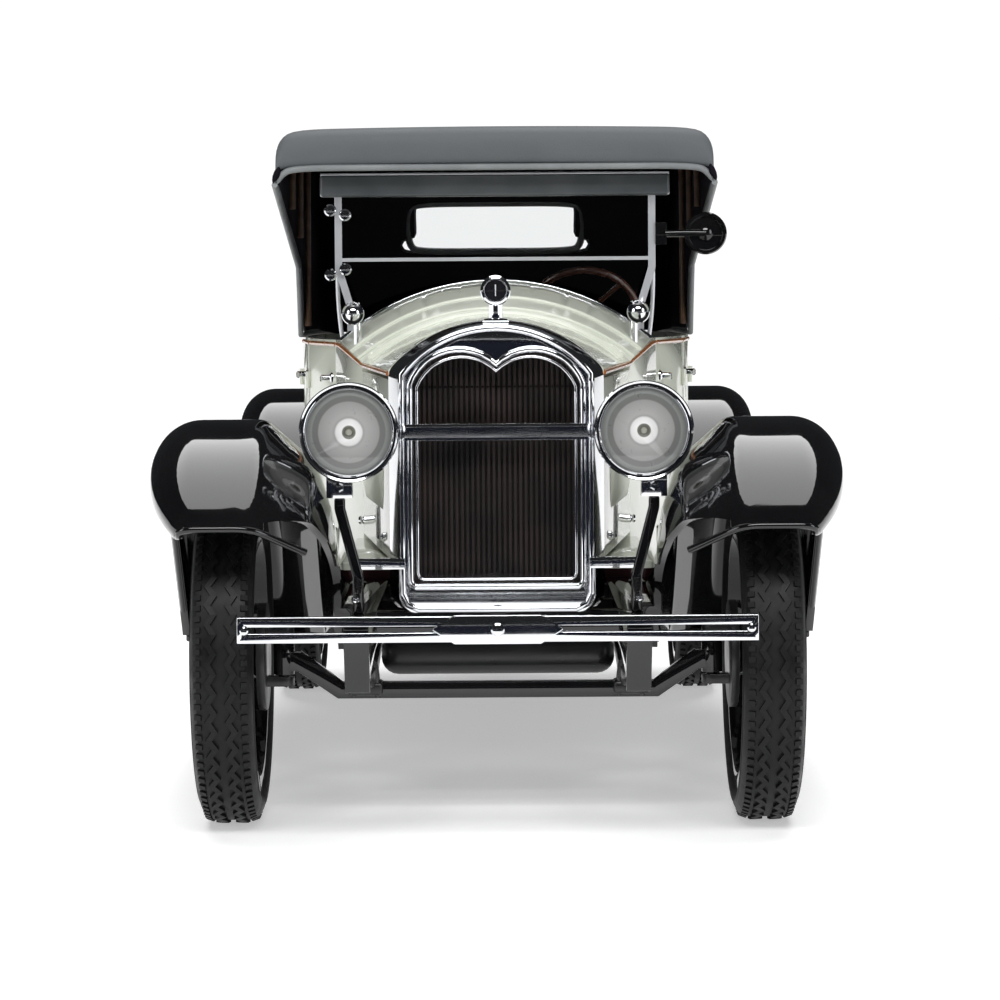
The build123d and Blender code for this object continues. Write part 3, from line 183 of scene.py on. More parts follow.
# The chassis: pressed side rails, cross members, leaf springs, axles, engine and gearbox, exhaust
# and tank. Die-cast metal and moulded plastic on the model, all in satin or gloss black but for
# the exhaust, and their moulded corners are slightly eased.
def unevenness():
    """Effect for painted, plated and moulded skins: clouds of colour, uneven gloss, fine ripple."""
    group = bpy.data.node_groups.new("skin_unevenness", "ShaderNodeTree")
    for label, kind in (("Main", "Color"), ("Cloud", "Color"), ("Cloud Size", "Float"),
                        ("Grain Size", "Float"), ("Smoothest", "Float"), ("Roughest", "Float")):
        group.interface.new_socket(name=label, in_out="INPUT", socket_type="NodeSocket" + kind)
    for label, kind in (("Colour", "Color"), ("Roughness", "Float"), ("Height", "Float")):
        group.interface.new_socket(name=label, in_out="OUTPUT", socket_type="NodeSocket" + kind)
    given = group.nodes.new("NodeGroupInput")
    told = group.nodes.new("NodeGroupOutput")
    where = group.nodes.new("ShaderNodeTexCoord")
    cloud = group.nodes.new("ShaderNodeTexNoise")
    preset(cloud, Detail=4.0)
    grain = group.nodes.new("ShaderNodeTexNoise")
    preset(grain, Detail=3.0)
    spread = group.nodes.new("ShaderNodeMapRange")
    preset(spread, From_Min=0.35, From_Max=0.65)
    mix = group.nodes.new("ShaderNodeMix")
    mix.data_type = "RGBA"
    gloss = group.nodes.new("ShaderNodeMapRange")
    preset(gloss, From_Min=0.3, From_Max=0.7)
    linked(
        group,
        (where.outputs["Object"], cloud.inputs["Vector"]),
        (where.outputs["Object"], grain.inputs["Vector"]),
        (given.outputs["Cloud Size"], cloud.inputs["Scale"]),
        (given.outputs["Grain Size"], grain.inputs["Scale"]),
        (cloud.outputs["Fac"], spread.inputs["Value"]),
        (spread.outputs["Result"], mix.inputs["Factor"]),
        (given.outputs["Main"], mix.inputs["A"]),
        (given.outputs["Cloud"], mix.inputs["B"]),
        (cloud.outputs["Fac"], gloss.inputs["Value"]),
        (given.outputs["Smoothest"], gloss.inputs["To Min"]),
        (given.outputs["Roughest"], gloss.inputs["To Max"]),
        (mix.outputs["Result"], told.inputs["Colour"]),
        (gloss.outputs["Result"], told.inputs["Roughness"]),
        (grain.outputs["Fac"], told.inputs["Height"]),
    )
    return group


skin_unevenness = unevenness()


def finish(name, slot, main, cloud, smoothest, roughest, cloud_size=120.0, grain_size=2500.0,
           relief=0.00002, strength=0.15, metallic=0.0, coat=0.0, specular=0.5):
    """A painted, plated or moulded finish, uneven in the way its own values say."""
    material = plain_material(name, slot, Metallic=metallic, Coat_Weight=coat, Coat_Roughness=0.03,
                              Specular_IOR_Level=specular)
    tree = material.node_tree
    skin = tree.nodes["Principled BSDF"]
    effect = tree.nodes.new("ShaderNodeGroup")
    effect.node_tree = skin_unevenness
    preset(effect, Main=(*main, 1.0), Cloud=(*cloud, 1.0), Cloud_Size=cloud_size, Grain_Size=grain_size,
           Smoothest=smoothest, Roughest=roughest)
    bump = tree.nodes.new("ShaderNodeBump")
    preset(bump, Strength=strength, Distance=relief)
    linked(
        tree,
        (effect.outputs["Colour"], skin.inputs["Base Color"]),
        (effect.outputs["Roughness"], skin.inputs["Roughness"]),
        (effect.outputs["Height"], bump.inputs["Height"]),
        (bump.outputs["Normal"], skin.inputs["Normal"]),
    )
    return material


def alone(piece):
    """Makes the piece the one selected and active object."""
    bpy.ops.object.select_all(action="DESELECT")
    piece.select_set(True)
    bpy.context.view_layer.objects.active = piece


WELD = 0.000004
FLAT_ANGLE, CORNER_ANGLE, CREASE_ANGLE = math.radians(0.6), math.radians(28.0), math.radians(38.0)


def eased(node, material, edge=0.00012, segments=2):
    """The node's shape as one welded skin with its hard corners eased, standing for the node."""
    source = frame["nodes"][node]
    piece = bpy.data.objects.new(node + "_finished", source.data.copy())
    scene.collection.objects.link(piece)
    alone(piece)
    bpy.ops.object.mode_set(mode="EDIT")
    bpy.ops.mesh.select_all(action="SELECT")
    bpy.ops.mesh.customdata_custom_splitnormals_clear()
    bpy.ops.mesh.remove_doubles(threshold=WELD)
    bpy.ops.mesh.dissolve_limited(angle_limit=FLAT_ANGLE)
    bpy.ops.object.mode_set(mode="OBJECT")
    if edge > 0:
        ease = piece.modifiers.new("eased_corners", "BEVEL")
        ease.width = edge
        ease.segments = segments
        ease.limit_method = "ANGLE"
        ease.angle_limit = CORNER_ANGLE
        ease.use_clamp_overlap = True
        ease.miter_outer = "MITER_ARC"
        bpy.ops.object.modifier_apply(modifier=ease.name)
    piece.data.materials.clear()
    piece.data.materials.append(material)
    bpy.ops.object.shade_smooth_by_angle(angle=CREASE_ANGLE)
    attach(piece, source["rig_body"])
    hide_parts(node)


satin_black = finish("satin_black", "iron", (0.012, 0.012, 0.013), (0.018, 0.018, 0.019), 0.26, 0.42,
                     relief=0.00003, strength=0.2)
gloss_black = finish("gloss_black", "black_gloss", (0.004, 0.004, 0.0045), (0.006, 0.006, 0.0065),
                     0.05, 0.09, grain_size=700.0, relief=0.00001, strength=0.05, coat=1.0, specular=0.1)
iron_grey = finish("iron_grey", "iron", (0.05, 0.05, 0.052), (0.08, 0.078, 0.075), 0.35, 0.55,
                   metallic=0.4, relief=0.00004, strength=0.3)
chrome = finish("chrome_plate", "chrome", (0.80, 0.81, 0.83), (0.74, 0.75, 0.78), 0.05, 0.11,
                grain_size=260.0, relief=0.00002, strength=0.06, metallic=1.0)

for node, material in (
    ("chassis_frame", gloss_black), ("springs", satin_black), ("front_axle", gloss_black),
    ("rear_axle", satin_black), ("engine_block", iron_grey), ("exhaust", iron_grey),
    ("fuel_tank", gloss_black), ("knuckle_left", satin_black), ("knuckle_right", satin_black),
):
    eased(node, material)

# The wheels: black enamelled artillery wheels with twelve round wooden spokes in a steel rim, and
# a plated hub cap over the nut. On the model each is one gloss black moulding with a plated cap
# pressed on.
mm = 0.001
FRONT_AXLE, REAR_AXLE, AXLE_HEIGHT, HALF_TRACK, HUB_FACE = -89.0, 83.0, 24.7, 39.5, 43.0
SPARE_FACE, SPARE_MIDDLE, SPARE_HEIGHT = 123.4, 119.9, 48.0
SIDES = (("left", 1), ("right", -1))
FACINGS = {"front": (math.pi / 2, 0.0), "back": (-math.pi / 2, 0.0), "left": (0.0, math.pi / 2),
           "right": (0.0, -math.pi / 2), "up": (0.0, 0.0), "down": (math.pi, 0.0)}


def placed(piece, material, body, smooth=35.0):
    """The piece with its place in its mesh, its finish, and the body that it rides on."""
    alone(piece)
    bpy.ops.object.transform_apply(location=True, rotation=True, scale=True)
    piece.data.materials.clear()
    piece.data.materials.append(material)
    bpy.ops.object.shade_smooth_by_angle(angle=math.radians(smooth))
    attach(piece, body)
    return piece


def turned(name, rings, centre, facing, material, body="car", segments=40, ring=False, smooth=35.0):
    """A turned piece: rings of (radius, height) in mm about a centre, up the way it faces."""
    bpy.ops.object.select_all(action="DESELECT")
    bpy.ops.mesh.primitive_circle_add(vertices=segments, radius=rings[0][0] * mm,
                                      location=(0.0, 0.0, rings[0][1] * mm))
    piece = bpy.context.active_object
    piece.name = name
    bpy.ops.object.transform_apply(location=True, rotation=True, scale=True)
    bpy.ops.object.mode_set(mode="EDIT")
    bpy.ops.mesh.select_all(action="SELECT")
    for (was, low), (radius, high) in zip(rings, rings[1:]):
        rise = (0.0, 0.0, (high - low) * mm)
        bpy.ops.mesh.extrude_region_move(TRANSFORM_OT_translate={"value": rise})
        share = max(radius, 0.001) / was
        bpy.ops.transform.resize(value=(share, share, 1.0), center_override=(0.0, 0.0, high * mm))
        if radius == 0:
            bpy.ops.mesh.merge(type="CENTER")
    if ring:
        bpy.ops.mesh.select_all(action="DESELECT")
        bpy.ops.mesh.select_non_manifold()
        bpy.ops.mesh.bridge_edge_loops()
    else:
        bpy.ops.mesh.select_all(action="SELECT")
        bpy.ops.mesh.fill_holes(sides=0)
    bpy.ops.mesh.select_all(action="SELECT")
    bpy.ops.mesh.normals_make_consistent(inside=False)
    bpy.ops.object.mode_set(mode="OBJECT")
    piece.rotation_euler = (*FACINGS[facing], 0.0)
    piece.location = [value * mm for value in centre]
    return placed(piece, material, body, smooth)


WHEELS = [(f"{end}_{place}", side, axle_y, place)
          for end, axle_y in (("front", FRONT_AXLE), ("rear", REAR_AXLE)) for place, side in SIDES]
for wheel, side, axle_y, outward in WHEELS:
    eased("wheel_" + wheel, gloss_black, edge=0.00008)
    turned("hub_cap_" + wheel, ((2.5, -0.6), (2.5, 0.9), (2.2, 1.5), (1.5, 1.75), (1.3, 1.65), (0, 1.7)),
           (side * HUB_FACE, axle_y, AXLE_HEIGHT), outward, chrome, wheel + "_wheel")
eased("spare_wheel", gloss_black, edge=0.00008)
turned("hub_cap_spare", ((2.5, -0.6), (2.5, 0.9), (2.2, 1.5), (1.5, 1.7), (0, 1.6)),
       (0, SPARE_FACE, SPARE_HEIGHT), "back", chrome)
eased("spare_carrier", satin_black)

# The tyres: soft black rubber balloon tyres. The carcass is moulded with rounded walls and a raised
# rubbing line, and carries two zigzag ribs with a groove between them and a row of blocks on each
# shoulder.
tyre_rubber = finish("tyre_rubber", "tyre", (0.0045, 0.0045, 0.0045), (0.008, 0.008, 0.0085),
                     0.40, 0.58, cloud_size=300.0, grain_size=5000.0, relief=0.00003, strength=0.3,
                     specular=0.22)
HALF_WALL = ((20.2, 3.4), (20.9, 4.05), (21.6, 4.45), (21.9, 4.6), (22.1, 4.6), (22.3, 4.42),
             (22.9, 4.3), (23.6, 3.9), (24.05, 3.5), (24.25, 2.6))
TYRE_WALL = (*((radius, -z) for radius, z in HALF_WALL), (24.3, 0.0), *reversed(HALF_WALL))
BARS_ROUND, BAR_SLANT, BLOCKS_ROUND = 54, 0.9, 96


# In these two helpers the tyre lies flat: x is out from the axle, y along the tread, z across it
def lug(place, size, turn=0.0):
    """A squared lump of the tread, its place and size in mm, turned about the line along it."""
    bpy.ops.object.select_all(action="DESELECT")
    bpy.ops.mesh.primitive_cube_add(size=1.0, location=[value * mm for value in place],
                                    scale=[value * mm for value in size], rotation=(0.0, turn, 0.0))
    bpy.ops.object.transform_apply(location=True, rotation=True, scale=True)
    return bpy.context.active_object


def all_round(count):
    """Repeats the lump that is being edited all round the tyre."""
    bpy.ops.mesh.select_all(action="SELECT")
    bpy.ops.mesh.spin(steps=count - 1, dupli=True, angle=2 * math.pi * (count - 1) / count,
                      center=(0.0, 0.0, 0.0), axis=(0.0, 0.0, 1.0))
    bpy.ops.object.mode_set(mode="OBJECT")


lugs = []
for side in (-1, 1):
    for half, slope in ((-0.71, 1), (0.71, -1)):
        bar = lug((24.35, half, side * 1.45), (0.7, 1.46, 0.95))
        bpy.ops.object.mode_set(mode="EDIT")
        bpy.ops.mesh.select_mode(type="VERT")
        bpy.ops.mesh.select_all(action="DESELECT")
        bpy.ops.object.mode_set(mode="OBJECT")
        for corner in bar.data.vertices:
            corner.select = corner.co.y > half * mm
        bpy.ops.object.mode_set(mode="EDIT")
        bpy.ops.transform.translate(value=(0.0, 0.0, slope * BAR_SLANT * mm))
        bpy.ops.mesh.select_all(action="SELECT")
        bpy.ops.transform.translate(value=(0.0, 0.0, -slope * BAR_SLANT / 2 * mm))
        all_round(BARS_ROUND)
        lugs.append(bar)
    shoulder = lug((23.98, 0.0, side * 3.25), (0.75, 0.8, 1.0), turn=side * -0.35)
    bpy.ops.object.mode_set(mode="EDIT")
    all_round(BLOCKS_ROUND)
    lugs.append(shoulder)
carcass = turned("tyre_pattern", TYRE_WALL, (0, 0, 0), "up", tyre_rubber, segments=96, ring=True)
for piece in lugs:
    piece.select_set(True)
bpy.ops.object.join()
carcass.data.materials.clear()
treads = [(wheel, side * HALF_TRACK, axle_y, AXLE_HEIGHT, outward, wheel + "_wheel", "tyre_" + wheel)
          for wheel, side, axle_y, outward in WHEELS]
treads.append(("spare", 0.0, SPARE_MIDDLE, SPARE_HEIGHT, "back", "car", "spare_tyre"))
for wheel, x, y, z, facing, body, node in treads:
    tread = bpy.data.objects.new("tyre_tread_" + wheel, carcass.data.copy())
    scene.collection.objects.link(tread)
    tread.rotation_euler = (*FACINGS[facing], 0.0)
    tread.location = (x * mm, y * mm, z * mm)
    placed(tread, tyre_rubber, body, smooth=30.0)
    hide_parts(node)
bpy.data.objects.remove(carcass)

# The fenders: pressed steel, gloss black, each fender one sheet with its edge rolled over a wire,
# carried from over the wheel down to the running board. The front ones have a domed nose.
for node in ("front_fender_left", "front_fender_right", "rear_fender_left", "rear_fender_right"):
    eased(node, gloss_black, edge=0.0005, segments=3)


def rod(name, points, radius, material, body="car", smooth=True, closed=False):
    """A round wire, bead or tube of a radius in mm along points in mm."""
    curve = bpy.data.curves.new(name, "CURVE")
    curve.dimensions = "3D"
    curve.bevel_depth = radius * mm
    curve.bevel_resolution = 3
    curve.resolution_u = 8
    curve.use_fill_caps = not closed
    spline = curve.splines.new("NURBS" if smooth else "POLY")
    spline.points.add(len(points) - 1)
    for knot, (x, y, z) in zip(spline.points, points):
        knot.co = (x * mm, y * mm, z * mm, 1.0)
    if smooth:
        spline.order_u = 3
        spline.use_endpoint_u = not closed
    spline.use_cyclic_u = closed
    piece = bpy.data.objects.new(name, curve)
    scene.collection.objects.link(piece)
    alone(piece)
    bpy.ops.object.convert(target="MESH")
    return placed(bpy.context.active_object, material, body, smooth=50.0)


def about_axle(axle_y, x, radius, angle):
    """A point over a wheel at an angle back from straight up."""
    turn = math.radians(angle)
    return (x, axle_y + radius * math.sin(turn), AXLE_HEIGHT + radius * math.cos(turn))


FENDER_EDGE, WIRE = 50.2, 0.55
for place, side in SIDES:
    nose = [about_axle(FRONT_AXLE, side * x, radius, -53.0) for x, radius in
            ((27.3, 28.6), (30.5, 31.2), (34.5, 34.8), (40.0, 34.8), (44.8, 34.8))]
    skirt = [about_axle(FRONT_AXLE, side * x, radius, angle) for x, radius, angle in
             ((45.0, 32.4, -53.0), (47.1, 30.8, -46.0), (48.7, 29.2, -37.0), (49.7, 28.1, -27.0),
              *((FENDER_EDGE, 27.5, angle) for angle in (-15.0, 0.0, 22.0, 40.0)))]
    tail = [(side * FENDER_EDGE, -64.5, 39.2), (side * FENDER_EDGE, -54.0, 28.5)]
    rod("front_fender_wire_" + place, nose + skirt + tail, WIRE, gloss_black)
    arch = [about_axle(REAR_AXLE, side * FENDER_EDGE, 25.6, angle) for angle in range(-88, 76, 12)]
    rod("rear_fender_wire_" + place, arch, WIRE, gloss_black)

# The running boards: steel boards with a ribbed rubber mat, a plated edge strip and a plated
# scuff plate under the doors. The mat is stuck on and the strips are pinned.
eased("running_boards", gloss_black, edge=0.0003, segments=3)
mat_rubber = finish("mat_rubber", "tyre", (0.014, 0.014, 0.014), (0.022, 0.022, 0.022), 0.5, 0.7,
                    grain_size=4000.0, relief=0.00003, strength=0.3)


def block(name, corner, opposite, edge, material, segments=3):
    """A squared piece between two opposite corners in mm, its edges rounded by edge."""
    spans = [sorted(pair) for pair in zip(corner, opposite)]
    bpy.ops.object.select_all(action="DESELECT")
    bpy.ops.mesh.primitive_cube_add(size=1.0, location=[(low + high) / 2 * mm for low, high in spans],
                                    scale=[(high - low) * mm for low, high in spans])
    piece = bpy.context.active_object
    piece.name = name
    bpy.ops.object.transform_apply(location=True, rotation=True, scale=True)
    round_off = piece.modifiers.new("rounded_edges", "BEVEL")
    round_off.width = edge * mm
    round_off.segments = segments
    bpy.ops.object.modifier_apply(modifier=round_off.name)
    return placed(piece, material, "car")


def repeated(piece, count, step):
    """The piece again and again, each time a step in mm further."""
    row = piece.modifiers.new("row", "ARRAY")
    row.use_relative_offset = False
    row.use_constant_offset = True
    row.constant_offset_displace = [value * mm for value in step]
    row.count = count
    alone(piece)
    bpy.ops.object.modifier_apply(modifier=row.name)


for place, side in SIDES:
    rib = block("board_mat_" + place, (side * 31.6, -36.0, 23.9), (side * 49.2, -35.1, 24.5), 0.18,
                mat_rubber, segments=2)
    repeated(rib, 54, (0.0, 1.5, 0.0))
    block("board_edge_" + place, (side * 49.9, -37.5, 22.6), (side * 51.1, 46.5, 24.5), 0.3, chrome)
    block("scuff_plate_" + place, (side * 30.0, -6.0, 25.4), (side * 30.6, 44.0, 30.6), 0.2, chrome)

# The splash pan and spring pads: a pressed black pan bolted under the engine between the rails, and
# a clamp plate with two U-bolts holding each front spring to the axle.
block("engine_pan", (-17.6, -85.4, 21.2), (17.6, -33.0, 27.4), 2.6, satin_black, segments=5)
U_BOLT = ((18.0, 18.6), (18.0, 23.6), (19.8, 24.0), (21.5, 23.6), (21.5, 18.6))
for place, side in SIDES:
    block("spring_pad_" + place, (side * 17.2, -91.6, 19.0), (side * 22.3, -86.4, 20.9), 0.4, satin_black)
    for number, y in enumerate((-91.0, -87.0)):
        rod(f"spring_bolt_{number}_{place}", [(side * x, y, z) for x, z in U_BOLT], 0.35, iron_grey)

# The body: an open steel tub painted ivory over a wooden frame, with four doors. A thin tan coach
# stripe is painted along the belt from the radiator to the back, and raised beads stiffen the cowl.
ivory_paint = finish("ivory_paint", "ivory", (0.71, 0.74, 0.64), (0.68, 0.71, 0.61), 0.10, 0.17,
                     cloud_size=60.0, grain_size=900.0, relief=0.00001, strength=0.06, coat=0.7)
stripe_tan = finish("stripe_tan", "ivory", (0.36, 0.13, 0.035), (0.30, 0.10, 0.028), 0.2, 0.3, coat=0.5)
eased("body_tub", ivory_paint, edge=0.0003, segments=3)
for node in ("front_door_left", "front_door_right", "rear_door_left", "rear_door_right"):
    eased(node, ivory_paint, edge=0.00025, segments=3)


def station(x, behind_axle, height):
    """A point given by its distance behind the front axle."""
    return (x, FRONT_AXLE + behind_axle, height)


BELT, REAR_CORNER, HANDLE_HEIGHT = 70.2, 12.0, 64.4


def arc(first, middle, last, count):
    """Points along the circle through three points, in their own flat (across, up) plane."""
    (ax, az), (bx, bz), (cx, cz) = first, middle, last
    d = 2 * (ax * (bz - cz) + bx * (cz - az) + cx * (az - bz))
    a, b, c = ax**2 + az**2, bx**2 + bz**2, cx**2 + cz**2
    ux = (a * (bz - cz) + b * (cz - az) + c * (az - bz)) / d
    uz = (a * (cx - bx) + b * (ax - cx) + c * (bx - ax)) / d
    radius = math.hypot(ax - ux, az - uz)
    start, via, end = (math.atan2(z - uz, x - ux) for x, z in (first, middle, last))
    turn, half_turn = (end - start) % (2 * math.pi), (via - start) % (2 * math.pi)
    if half_turn > turn:
        turn -= 2 * math.pi
    angles = [start + turn * i / (count - 1) for i in range(count)]
    return [(ux + radius * math.cos(angle), uz + radius * math.sin(angle)) for angle in angles]


for place, side in SIDES:
    corner = [(24.4 + REAR_CORNER * math.cos(turn), 190.0 + REAR_CORNER * math.sin(turn), BELT)
              for turn in (math.radians(angle) for angle in range(0, 91, 10))]
    for part, body, run in (
        ("bonnet", place + "_bonnet_top", ((16.1, 3.2, 66.7), (22.15, 57.3, 67.0))),
        ("cowl", "car", ((22.1, 58.3, 67.0), (26.5, 76.0, 69.9), (27.4, 79.8, BELT))),
        ("front_door", place + "_front_door", ((27.6, 80.8, BELT), (33.5, 108.2, BELT))),
        ("pillar", "car", ((33.7, 109.2, BELT), (34.1, 111.8, BELT))),
        ("rear_door", place + "_rear_door", ((34.1, 112.8, BELT), (36.15, 134.8, BELT))),
        ("quarter", "car", ((36.3, 136.0, BELT), *corner, (0.0, 202.0, BELT))),
    ):
        rod(f"stripe_{part}_{place}", [station(side * x, back, z) for x, back, z in run], 0.42,
            stripe_tan, body, smooth=False)
    # Door handles: a plated lever on a turned boss near the front edge of each door
    for door, x, back in (("front", 28.4, 84.0), ("rear", 34.4, 115.6)):
        body = f"{place}_{door}_door"
        turned(f"{door}_handle_boss_{place}",
               ((1.0, -0.2), (1.0, 0.2), (0.5, 0.5), (0.5, 1.7), (0.6, 2.0), (0, 2.1)),
               station(side * x, back, HANDLE_HEIGHT), place, chrome, body, segments=20)
        lever = [station(side * (x + out), back + along, z) for out, along, z in
                 ((1.8, 0.0, HANDLE_HEIGHT), (2.0, 2.4, 64.5), (2.1, 4.6, 64.0))]
        rod(f"{door}_handle_{place}", lever, 0.45, chrome, body)
for name, back, half, shoulder, crest, radius, material in (
    ("cowl_bead_front", 60.2, 22.9, 68.0, 76.2, 0.4, ivory_paint),
    ("cowl_bead_middle", 66.5, 24.4, 69.1, 78.1, 0.4, ivory_paint),
    ("cowl_edge_bead", 75.7, 26.5, 70.9, 80.9, 0.5, chrome),
):
    run = arc((-half, shoulder), (0.0, crest), (half, shoulder), 33)
    rod(name, [station(x, back, z) for x, z in run], radius, material, smooth=False)

# The inside: a carpeted floor, a dashboard, and two bench seats. Each seat is a hide-covered base
# with a sprung cushion and a stuffed back, sewn into upright pleats, and piped along the cushion's
# front edge.
carpet = finish("carpet", "maroon", (0.030, 0.008, 0.010), (0.018, 0.005, 0.007), 0.85, 0.95,
                grain_size=6000.0, relief=0.0001, strength=0.8, specular=0.2)
maroon_hide = finish("maroon_hide", "maroon", (0.13, 0.014, 0.021), (0.085, 0.009, 0.014), 0.30, 0.48,
                     cloud_size=150.0, grain_size=2400.0, relief=0.00009, strength=0.4)
eased("floorboards", carpet, edge=0.0002)
eased("dashboard", gloss_black)


CROWN_HEIGHT, SEAM_DEPTH, SEAM_SHARPNESS, SEAM_REACH, SQUARENESS = 0.9, 0.75, 12, 8, 8
DRAWN_ENDS, DRAWN_EDGES, DRAWN_SIDES, CUSHION_LEAN = 0.02, 0.03, 0.012, -0.06


def pleated_pad(name, centre, half, pleats, lean):
    """A stuffed pad with a crowned, pleated face, drawn in along its sides: halves in mm."""
    bpy.ops.object.select_all(action="DESELECT")
    bpy.ops.mesh.primitive_cube_add(size=2.0, location=(0.0, 0.0, 0.0))
    pad = bpy.context.active_object
    pad.name = name
    bpy.ops.object.mode_set(mode="EDIT")
    bpy.ops.mesh.select_all(action="SELECT")
    bpy.ops.mesh.subdivide(number_cuts=47)
    bpy.ops.object.mode_set(mode="OBJECT")
    wide, deep, thick = half
    for point in pad.data.vertices:
        fit = 1.0 / sum(abs(value) ** SQUARENESS for value in point.co) ** (1 / SQUARENESS)
        across, along, up = (value * fit for value in point.co)
        crown = (1 - across**2) * (1 - along**2)
        pleat = abs(math.cos(math.pi * pleats * (across + 1) / 2)) ** SEAM_SHARPNESS
        seam = pleat * max(0.0, 1 - along**SEAM_REACH)
        puff = max(0.0, up) * (CROWN_HEIGHT * crown - SEAM_DEPTH * seam)
        draw = 1 - DRAWN_ENDS * (1 - across**2) * abs(along) - DRAWN_EDGES * (1 - up**2)
        point.co = (across * wide * (1 - DRAWN_SIDES * (1 - along**2)) * mm,
                    along * deep * draw * mm, (up * thick + puff) * mm)
    pad.rotation_euler = (lean, 0.0, 0.0)
    pad.location = [value * mm for value in centre]
    placed(pad, maroon_hide, "car", smooth=60.0)


for seat, (half, front, rear, top), cushion, cushion_half, back, back_half, turn, pleats in (
    ("front_seat", (28.2, 103.6, 129.0, 39.4), (0, 24.6, 41.6), (28.5, 10.4, 3.4),
     (0, 37.4, 53.4), (28.5, 9.8, 2.7), 1.40, 14),
    ("rear_seat", (29.9, 152.6, 188.2, 40.0), (0, 77.4, 42.6), (30.1, 14.2, 3.6),
     (0, 96.1, 57.2), (30.1, 11.4, 3.4), 1.43, 15),
):
    box = block(seat + "_base", station(-half, front, 33.0), station(half, rear, top), 0.8, maroon_hide,
                segments=4)
    pleated_pad(seat + "_cushion", cushion, cushion_half, pleats, CUSHION_LEAN)
    pleated_pad(seat + "_back", back, back_half, pleats, turn)
    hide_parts(seat)
    edge_y, edge_z = cushion[1] - cushion_half[1] + 0.2, cushion[2]
    rod(seat + "_piping", [(-half, edge_y, edge_z - 0.6), (0, edge_y - 0.3, edge_z - 0.5),
                           (half, edge_y, edge_z - 0.6)], 0.4, maroon_hide)

# The radiator: a plated shell pressed in one piece round a core of upright fins, with a rolled
# outer edge, a double-humped bezel and a thinner bead inside it, and a cap with a round gauge.
fin_black = finish("fin_black", "fins", (0.010, 0.008, 0.008), (0.022, 0.014, 0.012), 0.30, 0.45,
                   metallic=0.2)
dial_black = finish("dial_black", "black_gloss", (0.006, 0.006, 0.008), (0.010, 0.010, 0.012),
                    0.2, 0.3, coat=1.0)
eased("radiator_shell", chrome, edge=0.0006, segments=4)
eased("radiator_core", fin_black, edge=0.0)
eased("radiator_cap", chrome, edge=0.0002, segments=3)


def framed(half, bottom, shoulder, corner, top_run):
    """A closed line up one side, over the given top run and down the other, its low corners round."""
    low = [(half - corner, bottom), (half - 0.3 * corner, bottom + 0.3 * corner), (half, bottom + corner)]
    right = low + [(half, bottom + (shoulder - bottom) * share) for share in (0.35, 0.7, 0.97)]
    left = [(-x, z) for x, z in reversed(right)]
    return right + top_run + left + [(0.0, bottom)]


# The opening's two humps: where they spring from the sides, their crests, and the dip between them
OPENING_HALF, OPENING_FOOT, SHOULDER, CREST_X, CREST, DIP = 12.5, 35.6, 65.1, 3.8, 69.9, 67.9
FINS, FIN_PITCH, FIN_HALF, FIN_DEPTH, FIN_FOOT, FIN_GAP = 30, 0.79, 0.2, 1.4, 64.6, 0.1

# The core's fins run on up into both humps of the opening
core_box = [Vector(corner) for corner in frame["nodes"]["radiator_core"].bound_box]
fin_face = min(corner.y for corner in core_box) / mm
hump_line = arc((OPENING_HALF, SHOULDER), (CREST_X, CREST), (0.0, DIP), 60)
fins = []
for number in range(FINS):
    x = (number - (FINS - 1) / 2) * FIN_PITCH
    top = min(hump_line, key=lambda point: abs(point[0] - abs(x)))[1] - FIN_GAP
    fins.append(block(f"core_fin_{number}", (x - FIN_HALF, fin_face, FIN_FOOT),
                      (x + FIN_HALF, fin_face + FIN_DEPTH, top), 0.02, fin_black, segments=1))
alone(fins[0])
for fin in fins:
    fin.select_set(True)
bpy.ops.object.join()
fins[0].name = "radiator_upper_fins"

outer_edge = framed(14.0, 31.9, 66.5, 2.4, arc((14.0, 66.7), (0.0, 73.5), (-14.0, 66.7), 25))
for name, grow, radius, y in (("radiator_bezel", 0.3, 0.5, -93.1),
                              ("radiator_inner_bead", -0.75, 0.26, -92.7)):
    half, shoulder = OPENING_HALF + grow, SHOULDER + grow * 0.4
    hump = arc((half, shoulder), (CREST_X, CREST + grow), (0.0, DIP + grow), 13)
    both_humps = hump + [(-x, z) for x, z in reversed(hump[:-1])]
    opening = framed(half, OPENING_FOOT - grow, shoulder, 0.9, both_humps)
    rod(name, [(x, y, z) for x, z in opening], radius, chrome, smooth=False, closed=True)
rod("radiator_outer_edge", [(x, -92.95, z) for x, z in outer_edge], 0.5, chrome, smooth=False, closed=True)
GAUGE = (0, -90.3, 79.0)
turned("gauge_rim", ((1.55, 0.1), (2.1, 0.0), (2.25, 0.3), (2.1, 0.6), (1.8, 0.7), (1.6, 0.5)), GAUGE,
       "front", chrome, ring=True)
turned("gauge_dial", ((1.7, 0.05), (1.65, 0.25), (0.9, 0.34), (0, 0.36)), GAUGE, "front", dial_black)
rod("gauge_needle", [(0.0, -90.7, 78.2), (0.0, -90.72, 79.9)], 0.09, chrome, smooth=False)
turned("radiator_cap_nut", ((2.1, 0.0), (2.2, 0.3), (2.2, 0.9), (1.9, 1.2), (1.2, 1.3), (1.1, 1.0)),
       (0, -89.5, 73.6), "up", chrome, segments=6, smooth=20.0)

# The bonnet: two hinged top panels and two hinged side panels in ivory on a long middle hinge, with
# pressed beads near the cowl, a row of louvres in each side, and two plated catches below them.
for node in ("bonnet_top_left", "bonnet_top_right", "bonnet_side_left", "bonnet_side_right"):
    eased(node, ivory_paint, edge=0.0002, segments=3)
eased("bonnet_hinge", chrome, edge=0.0)
eased("bonnet_sills", ivory_paint, edge=0.0002)


BONNET_FROM, BONNET_LENGTH = 2.9, 54.7
# Half width, shoulder height and crest height: each at the radiator, and its growth to the cowl
BONNET_GROWTH = ((16.1, 6.1), (67.2, 0.3), (74.7, 0.9))


